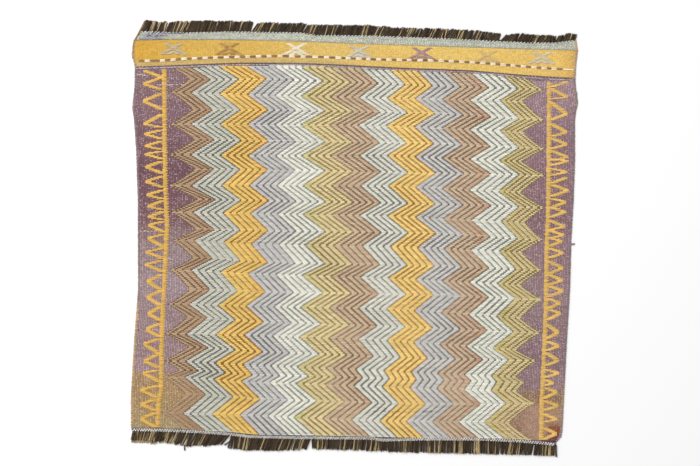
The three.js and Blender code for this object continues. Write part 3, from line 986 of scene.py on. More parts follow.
class Strands(NodeForm):
    """A bunch of fine hairs along every edge of a set of guides, cut at uneven lengths."""

    name = "strands"
    sizes = {
        "Hairs": 9.0, "Thickness": 0.00115, "Bunch": 0.00175, "Spread": 0.001, "Curl": 0.0012,
        "Uneven cut": 0.09,
    }

    POINTS = 5
    SIDES = 3
    LONGEST = 1.02
    # How much of its thickness a hair loses towards its tip
    TAPER = 0.45
    # Least and most of a hair's place in its bunch at its root and at its tip, and what is added to the seed
    ROOT = ((-1, -0.6, -0.45), (1, 0.6, 0.75), 5)
    TIP = ((-1, -0.5, -0.2), (1, 0.5, 1), 31)
    # Scale of the waves in a hair, and how far apart two hairs of a bunch lie in them
    WAVES = 110.0
    APART = (0.02, 0.02, 0.02)
    # Beyond the rug on every side, so that only the height is held
    OUTSIDE = -10.0

    def build(self, graph: Graph, given: dict[str, Wire]) -> Wire:
        """Copies each guide as a bunch, bends each copy and sweeps it with a three-sided section.

        Args:
            graph: The tree's graph.
            given: What its inputs give, by name.

        Returns:
            The hairs.
        """
        line = graph.take("GeometryNodeMeshToCurve", {"Mesh": given["Guides"]})
        count = graph.take("FunctionNodeFloatToInt", {0: given["Hairs"]})
        copies = {"Geometry": line, "Amount": count}
        many = graph.take("GeometryNodeDuplicateElements", copies, domain="SPLINE")
        end = graph.random(1.0 - given["Uneven cut"], self.LONGEST, given["Seed"])
        cut = graph.take("GeometryNodeTrimCurve", {"Curve": many, "End": end}, mode="FACTOR")
        steps = graph.take("GeometryNodeResampleCurve", {"Curve": cut, "Count": self.POINTS})
        factor = graph.take("GeometryNodeSplineParameter", output="Factor")
        root, tip = (self.for_each_hair(graph, given["Seed"], *place) for place in (self.ROOT, self.TIP))
        from_root = root * (given["Bunch"] * graph.named("bunch"))
        to_tip = tip * (factor * factor * given["Spread"])
        where = graph.take("GeometryNodeInputPosition")
        bent = graph.noise(where + root * self.APART, self.WAVES, output="Color")
        wave = (bent - (0.5, 0.5, 0.5)) * (factor * given["Curl"])
        floor = graph.combined(self.OUTSIDE, self.OUTSIDE, given["Thickness"])
        held = graph.math("MAXIMUM", where + (from_root + to_tip + wave), floor)
        moved = graph.take("GeometryNodeSetPosition", {"Geometry": steps, "Position": held})
        return graph.tube(moved, 1.0 - factor * self.TAPER, self.SIDES, given["Thickness"] * 0.5)

    @staticmethod
    def for_each_hair(graph: Graph, seed: Wire, low: Point, high: Point, step: int) -> Wire:
        """A random vector that is the same all along a hair.

        Args:
            graph: The tree's graph.
            seed: The piece's seed.
            low: The least that each part can be.
            high: The most.
            step: What is added to the seed.

        Returns:
            The vector.
        """
        value = graph.random(low, high, seed + step)
        settings = {"domain": "CURVE", "data_type": "FLOAT_VECTOR"}
        return graph.take("GeometryNodeFieldOnDomain", {"Value": value}, "Value", **settings)


class Effects:
    """The effects that several finishes share: fibre, fading, and the beads of plain weave with painted shade
    between them.
    """

    # Scale of the fibre's noise along x, y and z
    FIBRE_SCALE = (900.0, 2200.0, 2200.0)
    # Scale of the broad and of the fine fading, and the share and the mean of both together
    BROAD_SCALE = (9.0, 34.0, 1.0)
    FINE_SCALE = (22.0, 420.0, 1.0)
    FINE_SHARE = 0.6
    FADING_MEAN = 0.8
    # Painted shade between the beads, the painted light that a bead and a warp add to it, and how sharply
    # each rises
    BEAD_FLOOR = 0.7
    BEAD_LIGHT, BEAD_POWER = 0.16, 0.5
    WARP_LIGHT, WARP_POWER = 0.22, 0.7

    def __init__(self) -> None:
        """Builds the three groups."""
        self.fibre = self.group("fibre", {"Strength": 0.2}, self.fibre_values)
        self.fading = self.group("fading", {"Strength": 0.15}, self.fading_values)
        self.beads = self.group("beads", {"Strength": 0.3, "Slub share": 0.1}, self.bead_values)

    @staticmethod
    def group(name: str, numbers: dict[str, float], work: Callable) -> bpy.types.NodeTree:
        """Makes a shader group.

        Args:
            name: The group's name.
            numbers: Default of each number that it takes beside its vector.
            work: Builds its nodes from its graph and what its inputs give, and returns its outputs by name.

        Returns:
            The group.
        """
        tree = bpy.data.node_groups.new(name, "ShaderNodeTree")
        face = tree.interface
        face.new_socket("Vector", in_out="INPUT", socket_type="NodeSocketVector")
        for label, value in numbers.items():
            face.new_socket(label, in_out="INPUT", socket_type="NodeSocketFloat").default_value = value
        graph = Graph(tree)
        values = work(graph, graph.outputs("NodeGroupInput"))
        for label in values:
            face.new_socket(label, in_out="OUTPUT", socket_type="NodeSocketFloat")
        graph.add("NodeGroupOutput", values)
        return tree

    def fibre_values(self, graph: Graph, given: dict[str, Wire]) -> dict[str, Wire]:
        """Fine uneven fibre: a tone around 1 and a height from 0 to 1."""
        noise = graph.noise(given["Vector"] * self.FIBRE_SCALE, detail=2.0)
        return {"Tone": 1.0 + (noise - 0.5) * given["Strength"], "Height": noise}

    def fading_values(self, graph: Graph, given: dict[str, Wire]) -> dict[str, Wire]:
        """Uneven dye that changes from weft to weft and slowly along each weft.

        Args:
            graph: The group's graph.
            given: What its inputs give, by name.

        Returns:
            A tone around 1.
        """
        slow = graph.noise(given["Vector"] * self.BROAD_SCALE, detail=2.0)
        quick = graph.noise(given["Vector"] * self.FINE_SCALE)
        return {"Tone": 1.0 + (slow + quick * self.FINE_SHARE - self.FADING_MEAN) * given["Strength"]}

    def bead_values(self, graph: Graph, given: dict[str, Wire]) -> dict[str, Wire]:
        """Weft-faced plain weave on a map of warps and passes.

        Args:
            graph: The group's graph.
            given: What its inputs give, by name.

        Returns:
            The height and tone of the beads, where the slubs are, and the furrows between warps.
        """
        parts = graph.outputs("ShaderNodeSeparateXYZ", {0: given["Vector"]})
        warp = graph.math("FLOOR", parts["X"])
        passed = parts["Y"] + graph.math("MODULO", warp, 2.0) * 0.5
        across = (graph.math("FRACT", part) * math.pi for part in (parts["X"], passed))
        column, bead = (graph.math("SINE", part) for part in across)
        crown = column * bead
        cell = graph.combined(warp, graph.math("FLOOR", passed))
        chance = graph.take("ShaderNodeTexWhiteNoise", {"Vector": cell}, "Value", noise_dimensions="3D")
        # Painted light on the crowns of the beads and warps, painted shade between them
        light = (graph.math("POWER", crown, self.BEAD_POWER) * self.BEAD_LIGHT
                 + graph.math("POWER", column, self.WARP_POWER) * self.WARP_LIGHT)
        return {
            "Height": crown,
            "Tone": (1.0 + (chance - 0.5) * given["Strength"]) * (self.BEAD_FLOOR + light),
            "Slub": graph.math("GREATER_THAN", chance, 1.0 - given["Slub share"]) * crown,
            "Furrow": 1.0 - column,
        }


@dataclass(frozen=True)
class WoolFinish:
    """Matt hand-spun wool, the same in every finish but for its colours.

    Args:
        name: Name of the material.
        roughness: Of the wool's surface.
        sheen: Weight of the soft light along its fibres.
        depth: Depth of its relief in metres.
    """

    name: str
    roughness: float = 0.88
    sheen: float = 0.12
    depth: float = 0.00025

    SPECULAR = 0.18
    SHEEN_ROUGHNESS = 0.6

    def material(self, effects: Effects) -> bpy.types.Material:
        """Builds the finish.

        Args:
            effects: The shared effects.

        Returns:
            The material.
        """
        material = bpy.data.materials.new(self.name)
        material.use_nodes = True
        material.node_tree.nodes.clear()
        graph = Graph(material.node_tree)
        colour, height = self.look(graph, effects)
        bump = graph.take("ShaderNodeBump", {"Height": height, "Distance": self.depth, "Strength": 1.0})
        shader = graph.take("ShaderNodeBsdfPrincipled", {
            "Base Color": colour,
            "Roughness": self.roughness,
            "Specular IOR Level": self.SPECULAR,
            "Sheen Weight": self.sheen,
            "Sheen Roughness": self.SHEEN_ROUGHNESS,
            "Normal": bump,
        })
        graph.add("ShaderNodeOutputMaterial", {"Surface": shader})
        return material

    def look(self, graph: Graph, effects: Effects) -> tuple[Wire, Wire]:
        """Adds the nodes of its colour and its relief.

        Args:
            graph: The material's graph.
            effects: The shared effects.

        Returns:
            The colour, and the height of the relief from 0 to about 1.
        """
        raise NotImplementedError

    @staticmethod
    def attribute(graph: Graph, name: str, output: str = "Fac") -> Wire:
        """An attribute of the mesh, read in the shader."""
        return graph.take("ShaderNodeAttribute", output=output, attribute_name=name)

    @staticmethod
    def effect(graph: Graph, tree: bpy.types.NodeTree, strength: float) -> dict[str, Wire]:
        """What a shared effect gives at each place on the piece."""
        place = graph.take("ShaderNodeTexCoord", output="Object")
        return graph.outputs("ShaderNodeGroup", {"Vector": place, "Strength": strength}, node_tree=tree)

    @staticmethod
    def blend(graph: Graph, share: Wire, first: Any, second: Any) -> Wire:
        """A mix of two colours, whose sockets are the seventh and eighth of the node."""
        return graph.take("ShaderNodeMix", {"Factor": share, 6: first, 7: second}, 2, data_type="RGBA")


@dataclass(frozen=True)
class YarnFinish(WoolFinish):
    """The wool of yarns that float on the face, plied from two fibres.

    Args:
        dye: Its colours.
        unevenness: How much the dye varies along the rug.
    """

    dye: Dye = Dye((255, 255, 255), (255, 255, 255))
    unevenness: float = 0.14

    FIBRE = 0.22
    # How fast the ply turns along a yarn and across it, and its share of the relief
    PLY_TURNS, PLY_SLANT, PLY_SHARE = 26.0, 5.0, 0.35

    def look(self, graph: Graph, effects: Effects) -> tuple[Wire, Wire]:
        """Reads the tone, tint and yarn attributes.

        Args:
            graph: The material's graph.
            effects: The shared effects.

        Returns:
            The colour and the height.
        """
        fibre = self.effect(graph, effects.fibre, self.FIBRE)
        fading = self.effect(graph, effects.fading, self.unevenness)
        tint = self.attribute(graph, "tint")
        base = self.blend(graph, tint, linear(self.dye.face), linear(self.dye.accent))
        tone = self.attribute(graph, "tone") * fibre["Tone"] * fading["Tone"]
        yarn = graph.outputs("ShaderNodeSeparateXYZ", {0: self.attribute(graph, "yarn", "Vector")})
        ply = graph.math("SINE", yarn["X"] * self.PLY_TURNS + yarn["Y"] * self.PLY_SLANT)
        return base * tone, ply * self.PLY_SHARE + fibre["Height"]


@dataclass(frozen=True)
class WovenFinish(WoolFinish):
    """Weft-faced plain weave, dyed by attributes of the sheet, with painted shade in its furrows and painted
    shadow between the floats.

    Args:
        depth: Depth of its relief in metres.
        slub: Colour of the pale slubs in it.
        slub_share: How many beads are slubs.
        shade_lift: How far the dark between a stripe's floats is drawn towards their face.
    """

    depth: float = 0.0005
    slub: Colour = (204, 185, 188)
    slub_share: float = 0.14
    shade_lift: float = 0.2

    BEADS, FIBRE, FADING = 0.5, 0.25, 0.3
    # Painted shade in the furrows, the mean tone, and how lively the tone is round it without and with slubs
    FURROW = 0.62
    MEAN_TONE = 0.95
    CALM, LIVELY = 0.62, 0.5
    FIBRE_RELIEF = 0.3

    def look(self, graph: Graph, effects: Effects) -> tuple[Wire, Wire]:
        """Reads the dye, rib and wash attributes and the weave map.

        Args:
            graph: The material's graph.
            effects: The shared effects.

        Returns:
            The colour and the height.
        """
        weave = graph.take("ShaderNodeUVMap", uv_map="weave")
        values = {"Vector": weave, "Strength": self.BEADS, "Slub share": self.slub_share}
        beads = graph.outputs("ShaderNodeGroup", values, node_tree=effects.beads)
        fibre = self.effect(graph, effects.fibre, self.FIBRE)
        fading = self.effect(graph, effects.fading, self.FADING)
        # The dye's alpha sets both the slubs and the strength of the painted furrow shade
        speckle, rib = self.attribute(graph, "dye", "Alpha"), self.attribute(graph, "rib")
        dye = self.attribute(graph, "dye", "Color")
        dyed = self.blend(graph, beads["Slub"] * speckle, dye, linear(self.slub))
        inside = graph.math("GREATER_THAN", rib, FIRST_RIB) * graph.math("LESS_THAN", rib, LAST_RIB)
        covered = inside * (1.0 - self.attribute(graph, "wash"))
        # Between the floats: the dark ground with painted shadow
        laid = self.blend(graph, covered, dyed, self.between_floats(graph, rib))
        tone = beads["Tone"] * fibre["Tone"] * fading["Tone"]
        # Painted shade in the furrows between warps
        tone = tone * (1.0 - beads["Furrow"] * speckle * self.FURROW)
        tone = self.MEAN_TONE + (tone - self.MEAN_TONE) * (self.CALM + speckle * self.LIVELY)
        return laid * tone, beads["Height"] + fibre["Height"] * self.FIBRE_RELIEF

    def between_floats(self, graph: Graph, rib: Wire) -> Wire:
        """The dark that shows between the floats of each stripe: dark ground with painted shadow of their
        ends.

        Args:
            graph: The material's graph.
            rib: The rib number.

        Returns:
            The colour.
        """
        ramp = graph.add("ShaderNodeValToRGB", {0: rib / LAST_RIB})
        ramp.color_ramp.interpolation = "CONSTANT"
        stops = ramp.color_ramp.elements
        while len(stops) < len(Stripe):
            stops.new(1.0)
        for stop, stripe in zip(stops, Stripe):
            stop.position = (stripe.number - 1) * RIBS_PER_STRIPE / LAST_RIB
            pairs = zip(stripe.dye.shade, stripe.dye.face)
            # Each stripe's dark ground with painted shadow, lifted towards its face
            stop.color = linear([dark + self.shade_lift * (face - dark) for dark, face in pairs])
        return Wire(graph, ramp.outputs[0])


@dataclass(frozen=True)
class HairFinish(WoolFinish):
    """Wiry goat hair, near black with blond hairs among it.

    Args:
        roughness: Of the hair's surface.
        sheen: Weight of the soft light along it.
        depth: Depth of its relief in metres.
        dark: The dark hair.
        warm: The browner dark hair.
        blond: The blond hair.
    """

    roughness: float = 0.55
    sheen: float = 0.05
    depth: float = 0.0002
    dark: Colour = (46, 33, 20)
    warm: Colour = (72, 53, 34)
    blond: Colour = (206, 182, 136)

    FIBRE = 0.5
    # Scale of the browner patches, and the noise at which they start and how fast they grow
    PATCHES, WARM_FROM, WARM_RISE = 240.0, 0.35, 2.0

    def look(self, graph: Graph, effects: Effects) -> tuple[Wire, Wire]:
        """Reads the tone and tint attributes.

        Args:
            graph: The material's graph.
            effects: The shared effects.

        Returns:
            The colour and the height.
        """
        fibre = self.effect(graph, effects.fibre, self.FIBRE)
        patches = graph.noise(graph.take("ShaderNodeTexCoord", output="Object"), self.PATCHES)
        share = (patches - self.WARM_FROM) * self.WARM_RISE
        brown = self.blend(graph, share, linear(self.dark), linear(self.warm))
        base = self.blend(graph, self.attribute(graph, "tint"), brown, linear(self.blond))
        return base * (fibre["Tone"] * self.attribute(graph, "tone")), fibre["Height"]


@dataclass
class Brocade:
    """Yarns laid on the cloth, as every kind of brocade on it is made.

    Args:
        plan: The weave plan.
        yarns: The form of a laid yarn.
        effects: The shared effects.
    """

    plan: WeavePlan
    yarns: LaidYarns
    effects: Effects

    def net(self, seed: int) -> Net:
        """An empty net, with random numbers from that seed."""
        return Net(self.plan, rng=random.Random(seed))

    def grow(self, name: str, net: Net, dye: Dye, seed: int, wool: str = "",
             **sizes: float) -> bpy.types.Object:
        """Makes a piece of a net, in a wool of its own.

        Args:
            name: Name of the piece.
            net: Its runs.
            dye: Its dye.
            seed: Seed for what is random in the yarns.
            wool: Name of its material, where it isn't the piece's own.
            sizes: Sizes of the yarns that differ from the usual ones.

        Returns:
            The piece.
        """
        finish = YarnFinish(wool or f"wool_{name}", dye=dye).material(self.effects)
        return self.yarns.grow(name, net, finish, seed, **sizes)


@dataclass
class StripeField(Brocade):
    """The thirteen brocaded stripes, each a piece of its own.

    Args:
        seat: Height of the ends of its floats.
        brightness: How bright the wool is beside its dye.
        flicker: How much the tone differs from weft to weft, and from float to float.
        turn_cover: How far floats lap over their neighbours at a turn.
        turn_share: Share of a half turn that counts as the turn.
        slant_gap: How much shorter a float is cut for each millimetre that its rib runs sideways.
        steep: How far a rib runs sideways in a weft before that counts.
        most_gap: The most that it is cut.
    """

    seat: float = 1.35
    brightness: float = 1.035
    flicker: float = 0.052
    turn_cover: float = 0.5
    turn_share: float = 0.045
    slant_gap: float = 1.25
    steep: float = 2.2
    most_gap: float = 3.2

    # Slow waves of the dye along the warps: least and most length, and size
    HANKS = ((18, 45, 0.02), (5, 12, 0.012))
    # The accent: its power, and its share on the far side of a rib and what the near side adds
    RARITY, FAR_ACCENT, NEAR_ACCENT = 1.2, 0.35, 0.9
    # How much deeper the first stripe is dyed: [y, share], and what that does to its tone and its accent
    DEEPER = [[-240, 0], [-330, 1]]
    DEEPER_TONE, DEEPER_TINT = 0.08, 0.25
    FIRST_SEED = 100

    def build(self) -> list[bpy.types.Object]:
        """Makes the stripes.

        Returns:
            The pieces, from left to right.
        """
        wefts = list(self.plan.brocaded_wefts())
        pieces = []
        for stripe in Stripe:
            label, net = stripe.name.lower(), self.floats(stripe, wefts)
            pieces.append(self.grow(f"stripe_{stripe.number:02d}_{label}", net, stripe.dye,
                                    self.FIRST_SEED + stripe.number, f"wool_{label}"))
        return pieces

    def floats(self, stripe: Stripe, wefts: list[BrocadedWeft]) -> Net:
        """Lays the floats of one stripe.

        Args:
            stripe: The stripe.
            wefts: The field's wefts.

        Returns:
            Their net.
        """
        net = self.net(stripe.number)
        waves = self.hanks(stripe)
        for weft in wefts:
            y = weft.line.place(stripe.ribs[0])[1]
            hank = sum(size * math.sin(y / length + phase) for length, phase, size in waves)
            hank += net.rng.uniform(-self.flicker, self.flicker)
            for rib in stripe.ribs:
                start, end = weft.line.place(rib), weft.line.place(rib + 1)
                if not self.plan.has_brocade(*start):
                    continue
                place = RIBS_PER_STRIPE - 1 - stripe.ribs[-1] + rib
                near = weft.east if place > 1 else 1 - weft.east
                tint = stripe.blush[place] * net.rng.random() ** self.RARITY
                tint *= self.FAR_ACCENT + self.NEAR_ACCENT * near
                tone = self.brightness + hank + net.rng.uniform(-self.flicker, self.flicker)
                start = (start[0] + self.parting(weft, rib), start[1])
                if stripe is Stripe.BROWN:
                    deeper = read(self.DEEPER, start[1])
                    tone -= self.DEEPER_TONE * deeper
                    tint += self.DEEPER_TINT * deeper
                end = (end[0] - self.parting(weft, rib + 1), end[1])
                net.lay(start, end, self.seat, weft.pitch(start[0]), tone, min(tint, 1))
        return net

    def hanks(self, stripe: Stripe) -> list[Point]:
        """The waves in which a stripe's dye changes from hank to hank: length, phase and size."""
        rng = random.Random(stripe.number)
        return [(rng.uniform(low, high), rng.uniform(0, 6), size) for low, high, size in self.HANKS]

    def parting(self, weft: BrocadedWeft, rib: int) -> float:
        """How far a float stops short of a rib, so that the dark line beside a slanting rib closes.

        Args:
            weft: Its weft.
            rib: The rib.

        Returns:
            The distance, below 0 where the float laps over.
        """
        if min(weft.east, 1 - weft.east) < self.turn_share:
            return -self.turn_cover
        return min(max(self.slant_gap * (weft.shift(rib) - self.steep), 0), self.most_gap) / 2


@dataclass
class Details(Brocade):
    """Small yarns that no pattern holds: wraps over the side edges, flecks, odd picks and a corner's rim.

    Args:
        wrap_pitch: Distance between two wraps.
        wrap_seat: Height of their ends.
    """

    wrap_pitch: float = 3.1
    wrap_seat: float = 1.0

    # Colour of the wraps: [y, share of tan in the purple brown]
    LEFT_TAN = [[355, 0.5], [320, 0.8], [300, 0], [230, 0.05], [20, 0], [-110, 0.3], [-130, 1], [-342, 1]]
    RIGHT_TAN = [
        [357, 1], [300, 0.9], [280, 0.05], [262, 0.25], [240, 0.25], [225, 0], [-250, 0], [-280, 0.6],
        [-330, 0.4], [-367, 0.0],
    ]
    WRAP = Dye((152, 128, 134), (210, 178, 130))
    # Where the end of a weft sticks out of the right edge, and how far
    LOOSE_END = (-11.0, 6.5)
    # Line of the first warp at the corner, how far each of the two lies aside of it, and their height
    RIM = ((-399, 344), (-396.5, 354), (-393, 361.5), (-387.5, 371.5), (-382, 382), (-377.5, 391))
    RIM_ROWS = (0.0, 1.9)
    RIM_SEAT = 1.5
    BROWN = Dye((150, 122, 96), (184, 158, 122))
    # Rows of flecks: [from x, to x, y, share of the places that are filled]
    PALE_ROWS = [
        [-391, -374, 293.5, 0.8], [-359, -302, 275.5, 0.75], [-388, -352, 12, 0.4], [-350, -318, -38, 0.35],
        [192, 208, -272, 1.0], [-300, -272, 262, 0.25],
    ]
    DARK_ROWS = [
        [30, 166, -312, 0.55], [-400.5, -396.5, 324.5, 1.0], [-391, -388, -165, 1.0], [-390, -384, -166, 1.0],
    ]
    NAVY_ROWS = [[-372, -306, 368.3, 0.9], [-374, -336, 364, 0.5]]
    # Name, rows, dye, pitch, seed and seat of each kind of fleck
    FLECKS = (
        ("pale_flecks", PALE_ROWS, Dye((228, 208, 206), (240, 226, 214)), 1.7, 401, 1.9),
        ("dark_flecks", DARK_ROWS, Dye((74, 62, 54), (100, 80, 84)), 1.5, 402, 1.9),
        ("navy_flecks", NAVY_ROWS, Dye((78, 82, 122), (108, 104, 146)), 1.6, 403, 2.3),
    )
    RIM_SEED, WRAP_SEED, WRAP_YARN_SEED = 404, 410, 420
    # How far a wrap reaches in over the cloth, and out past the selvage
    WRAP_IN = (3.2, 4.6)
    WRAP_OUT = 0.7
    # Length of a fleck, and how far it lies above or below its row
    FLECK_LENGTH = (2.2, 3.4)
    FLECK_OFF = 0.8

    def build(self) -> list[bpy.types.Object]:
        """Makes the wraps, the flecks and the rim.

        Returns:
            The pieces.
        """
        return [
            self.wraps("left_selvage_wraps", LEFT_SELVAGE, self.LEFT_TAN, -1),
            self.wraps("right_selvage_wraps", RIGHT_SELVAGE, self.RIGHT_TAN, 1),
            *(self.flecks(*kind) for kind in self.FLECKS),
            self.rim(),
        ]

    def rim(self) -> bpy.types.Object:
        """Lays the brown warps that turn round the left corner of the head.

        Returns:
            The piece.
        """
        net = self.net(self.RIM_SEED)
        for aside in self.RIM_ROWS:
            for first, last in zip(self.RIM, self.RIM[1:]):
                middle = mix(first, last, 0.5)
                for ends in ((first, middle), (middle, last)):
                    start, end = ((x + aside, y) for x, y in ends)
                    net.lay_uneven(start, end, self.RIM_SEAT, self.RIM_ROWS[1], (-0.15, 0.1), 1)
        return self.grow("corner_rim", net, self.BROWN, self.RIM_SEED, End_gap=-0.0008, Rise=0.0005)

    def wraps(self, name: str, selvage: Table, tan: Table, side: int) -> bpy.types.Object:
        """Lays short yarns that turn round one side edge, one for each few wefts.

        Args:
            name: Name of the piece.
            selvage: The edge: [y, x].
            tan: Their colour: [y, share of tan].
            side: -1 for the left edge, 1 for the right one.

        Returns:
            The piece.
        """
        net = self.net(self.WRAP_SEED + side)
        top, bottom = selvage[0][0], selvage[-1][0]
        for i in range(int((top - bottom) / self.wrap_pitch)):
            y = top - (i + 0.5) * self.wrap_pitch
            x = read(selvage, y)
            left, right = sorted((x - side * net.rng.uniform(*self.WRAP_IN), x + side * self.WRAP_OUT))
            if side > 0 and abs(y - self.LOOSE_END[0]) < self.wrap_pitch / 2:
                right += self.LOOSE_END[1]
            tint = read(tan, y) * net.rng.uniform(0.7, 1.0)
            tone = 1 + net.rng.uniform(-0.22, 0.14)
            net.lay((left, y), (right, y), self.wrap_seat, self.wrap_pitch, tone, tint)
        return self.grow(name, net, self.WRAP, self.WRAP_YARN_SEED + side, End_gap=0.0001, Rise=0.0012)

    def flecks(self, name: str, rows: Table, dye: Dye, pitch: float, seed: int,
               seat: float) -> bpy.types.Object:
        """Lays single picks that show among the others, along level rows.

        Args:
            name: Name of the piece.
            rows: [from x, to x, y, share of the places that are filled].
            dye: Their dye.
            pitch: Their height along the warps.
            seed: Seed of where they are.
            seat: Height of their ends above the floor.

        Returns:
            The piece.
        """
        net = self.net(seed)
        for left, right, y, share in rows:
            for i in range(int((right - left) / self.plan.warp_pitch)):
                x = left + i * self.plan.warp_pitch
                if net.rng.random() < share:
                    level = y + net.rng.uniform(-self.FLECK_OFF, self.FLECK_OFF)
                    end = (x + net.rng.uniform(*self.FLECK_LENGTH), level)
                    net.lay((x, level), end, seat, pitch, 1, net.rng.random())
        return self.grow(name, net, dye, seed, End_gap=0.0001, Rise=0.0016)


class Side(Enum):
    """The two side borders: the way that their teeth point, their rail, their teeth and their dye."""

    LEFT = (-1, LEFT_RAIL, LEFT_TEETH, Dye((227, 184, 92), (233, 188, 112)))
    RIGHT = (1, RIGHT_RAIL, RIGHT_TEETH, Dye((234, 194, 106), (238, 196, 128)))


@dataclass
class Ladder(Brocade):
    """A yellow rail with teeth, brocaded on one side border.

    Args:
        side: Which border.
        rail_width: Width of the rail.
        pitch: Distance between two of its wefts.
        seat: Height of the ends of its floats.
        arm_overlap: How far the floats of an arm reach past each other.
        root_spread: How far the roots of a tooth are drawn apart.
        tip_reach: How far a float may pass the tip.
        root_depth: Where an arm starts in the rail, as a share of its width.
        least_floats: The fewest floats in an arm.
    """

    side: Side
    rail_width: float = 7.6
    pitch: float = 2.3
    seat: float = 2.0
    arm_overlap: float = 10.0
    root_spread: float = 1.2
    tip_reach: float = 0.8
    root_depth: float = 0.4
    least_floats: int = 3

    # How far the right ends of the even floats and of the odd ones stand out
    TUFTS = (-0.2, 1.4)
    RARITY = 3
    SEED, YARN_SEED = 40, 60

    def build(self) -> bpy.types.Object:
        """Makes the ladder from short floats, one for each weft that it crosses.

        Returns:
            The piece.
        """
        way, rail, teeth, dye = self.side.value
        net = self.net(self.SEED + way)
        self.lay_rail(net, rail)
        for tip_x, tip_y, upper, lower in teeth:
            for root_y in (upper, lower):
                if root_y is not None:
                    self.lay_arm(net, rail, root_y, (tip_x, tip_y))
        name = f"{self.side.name.lower()}_ladder"
        return self.grow(name, net, dye, self.YARN_SEED + way, End_gap=0.0003, Unevenness=0.14)

    def lay_rail(self, net: Net, rail: Table) -> None:
        """Lays one float on each weft, ragged at both ends.

        Args:
            net: Where they are laid.
            rail: Middle of the rail: [y, x].
        """
        top, bottom = rail[0][0], rail[-1][0]
        for i in range(int((top - bottom) / self.pitch)):
            y = top - (i + 0.5) * self.pitch
            x = read(rail, y)
            left = x - self.rail_width / 2 - net.rng.uniform(-0.6, 1.0)
            right = x + self.rail_width / 2 + net.rng.uniform(-0.4, 0.6) + self.TUFTS[i % 2]
            net.lay_uneven((left, y), (right, y), self.seat, self.pitch, (-0.07, 0.05), self.RARITY)

    def lay_arm(self, net: Net, rail: Table, root_y: float, tip: Pair) -> None:
        """Lays floats that step from the rail out to the tip of a tooth.

        Args:
            net: Where they are laid.
            rail: Middle of the rail: [y, x].
            root_y: Height of the arm's root.
            tip: The tip.
        """
        way = self.side.value[0]
        root_y += math.copysign(self.root_spread, root_y - tip[1])
        root = (read(rail, root_y) + way * self.rail_width * self.root_depth, root_y)
        count = max(self.least_floats, round(abs(tip[1] - root_y) / self.pitch) + 1)
        half = abs(tip[0] - root[0]) / count / 2 + self.arm_overlap / 2
        for i in range(count):
            x, y = mix(root, tip, (i + 0.5) / count)
            y += net.rng.uniform(-0.2, 0.2)
            left, right = x - half, x + half
            if self.side is Side.RIGHT:
                right = min(right, tip[0] + self.tip_reach)
            else:
                left = max(left, tip[0] - self.tip_reach)
            net.lay_uneven((left, y), (right, y), self.seat, self.pitch, (-0.08, 0.05), self.RARITY)


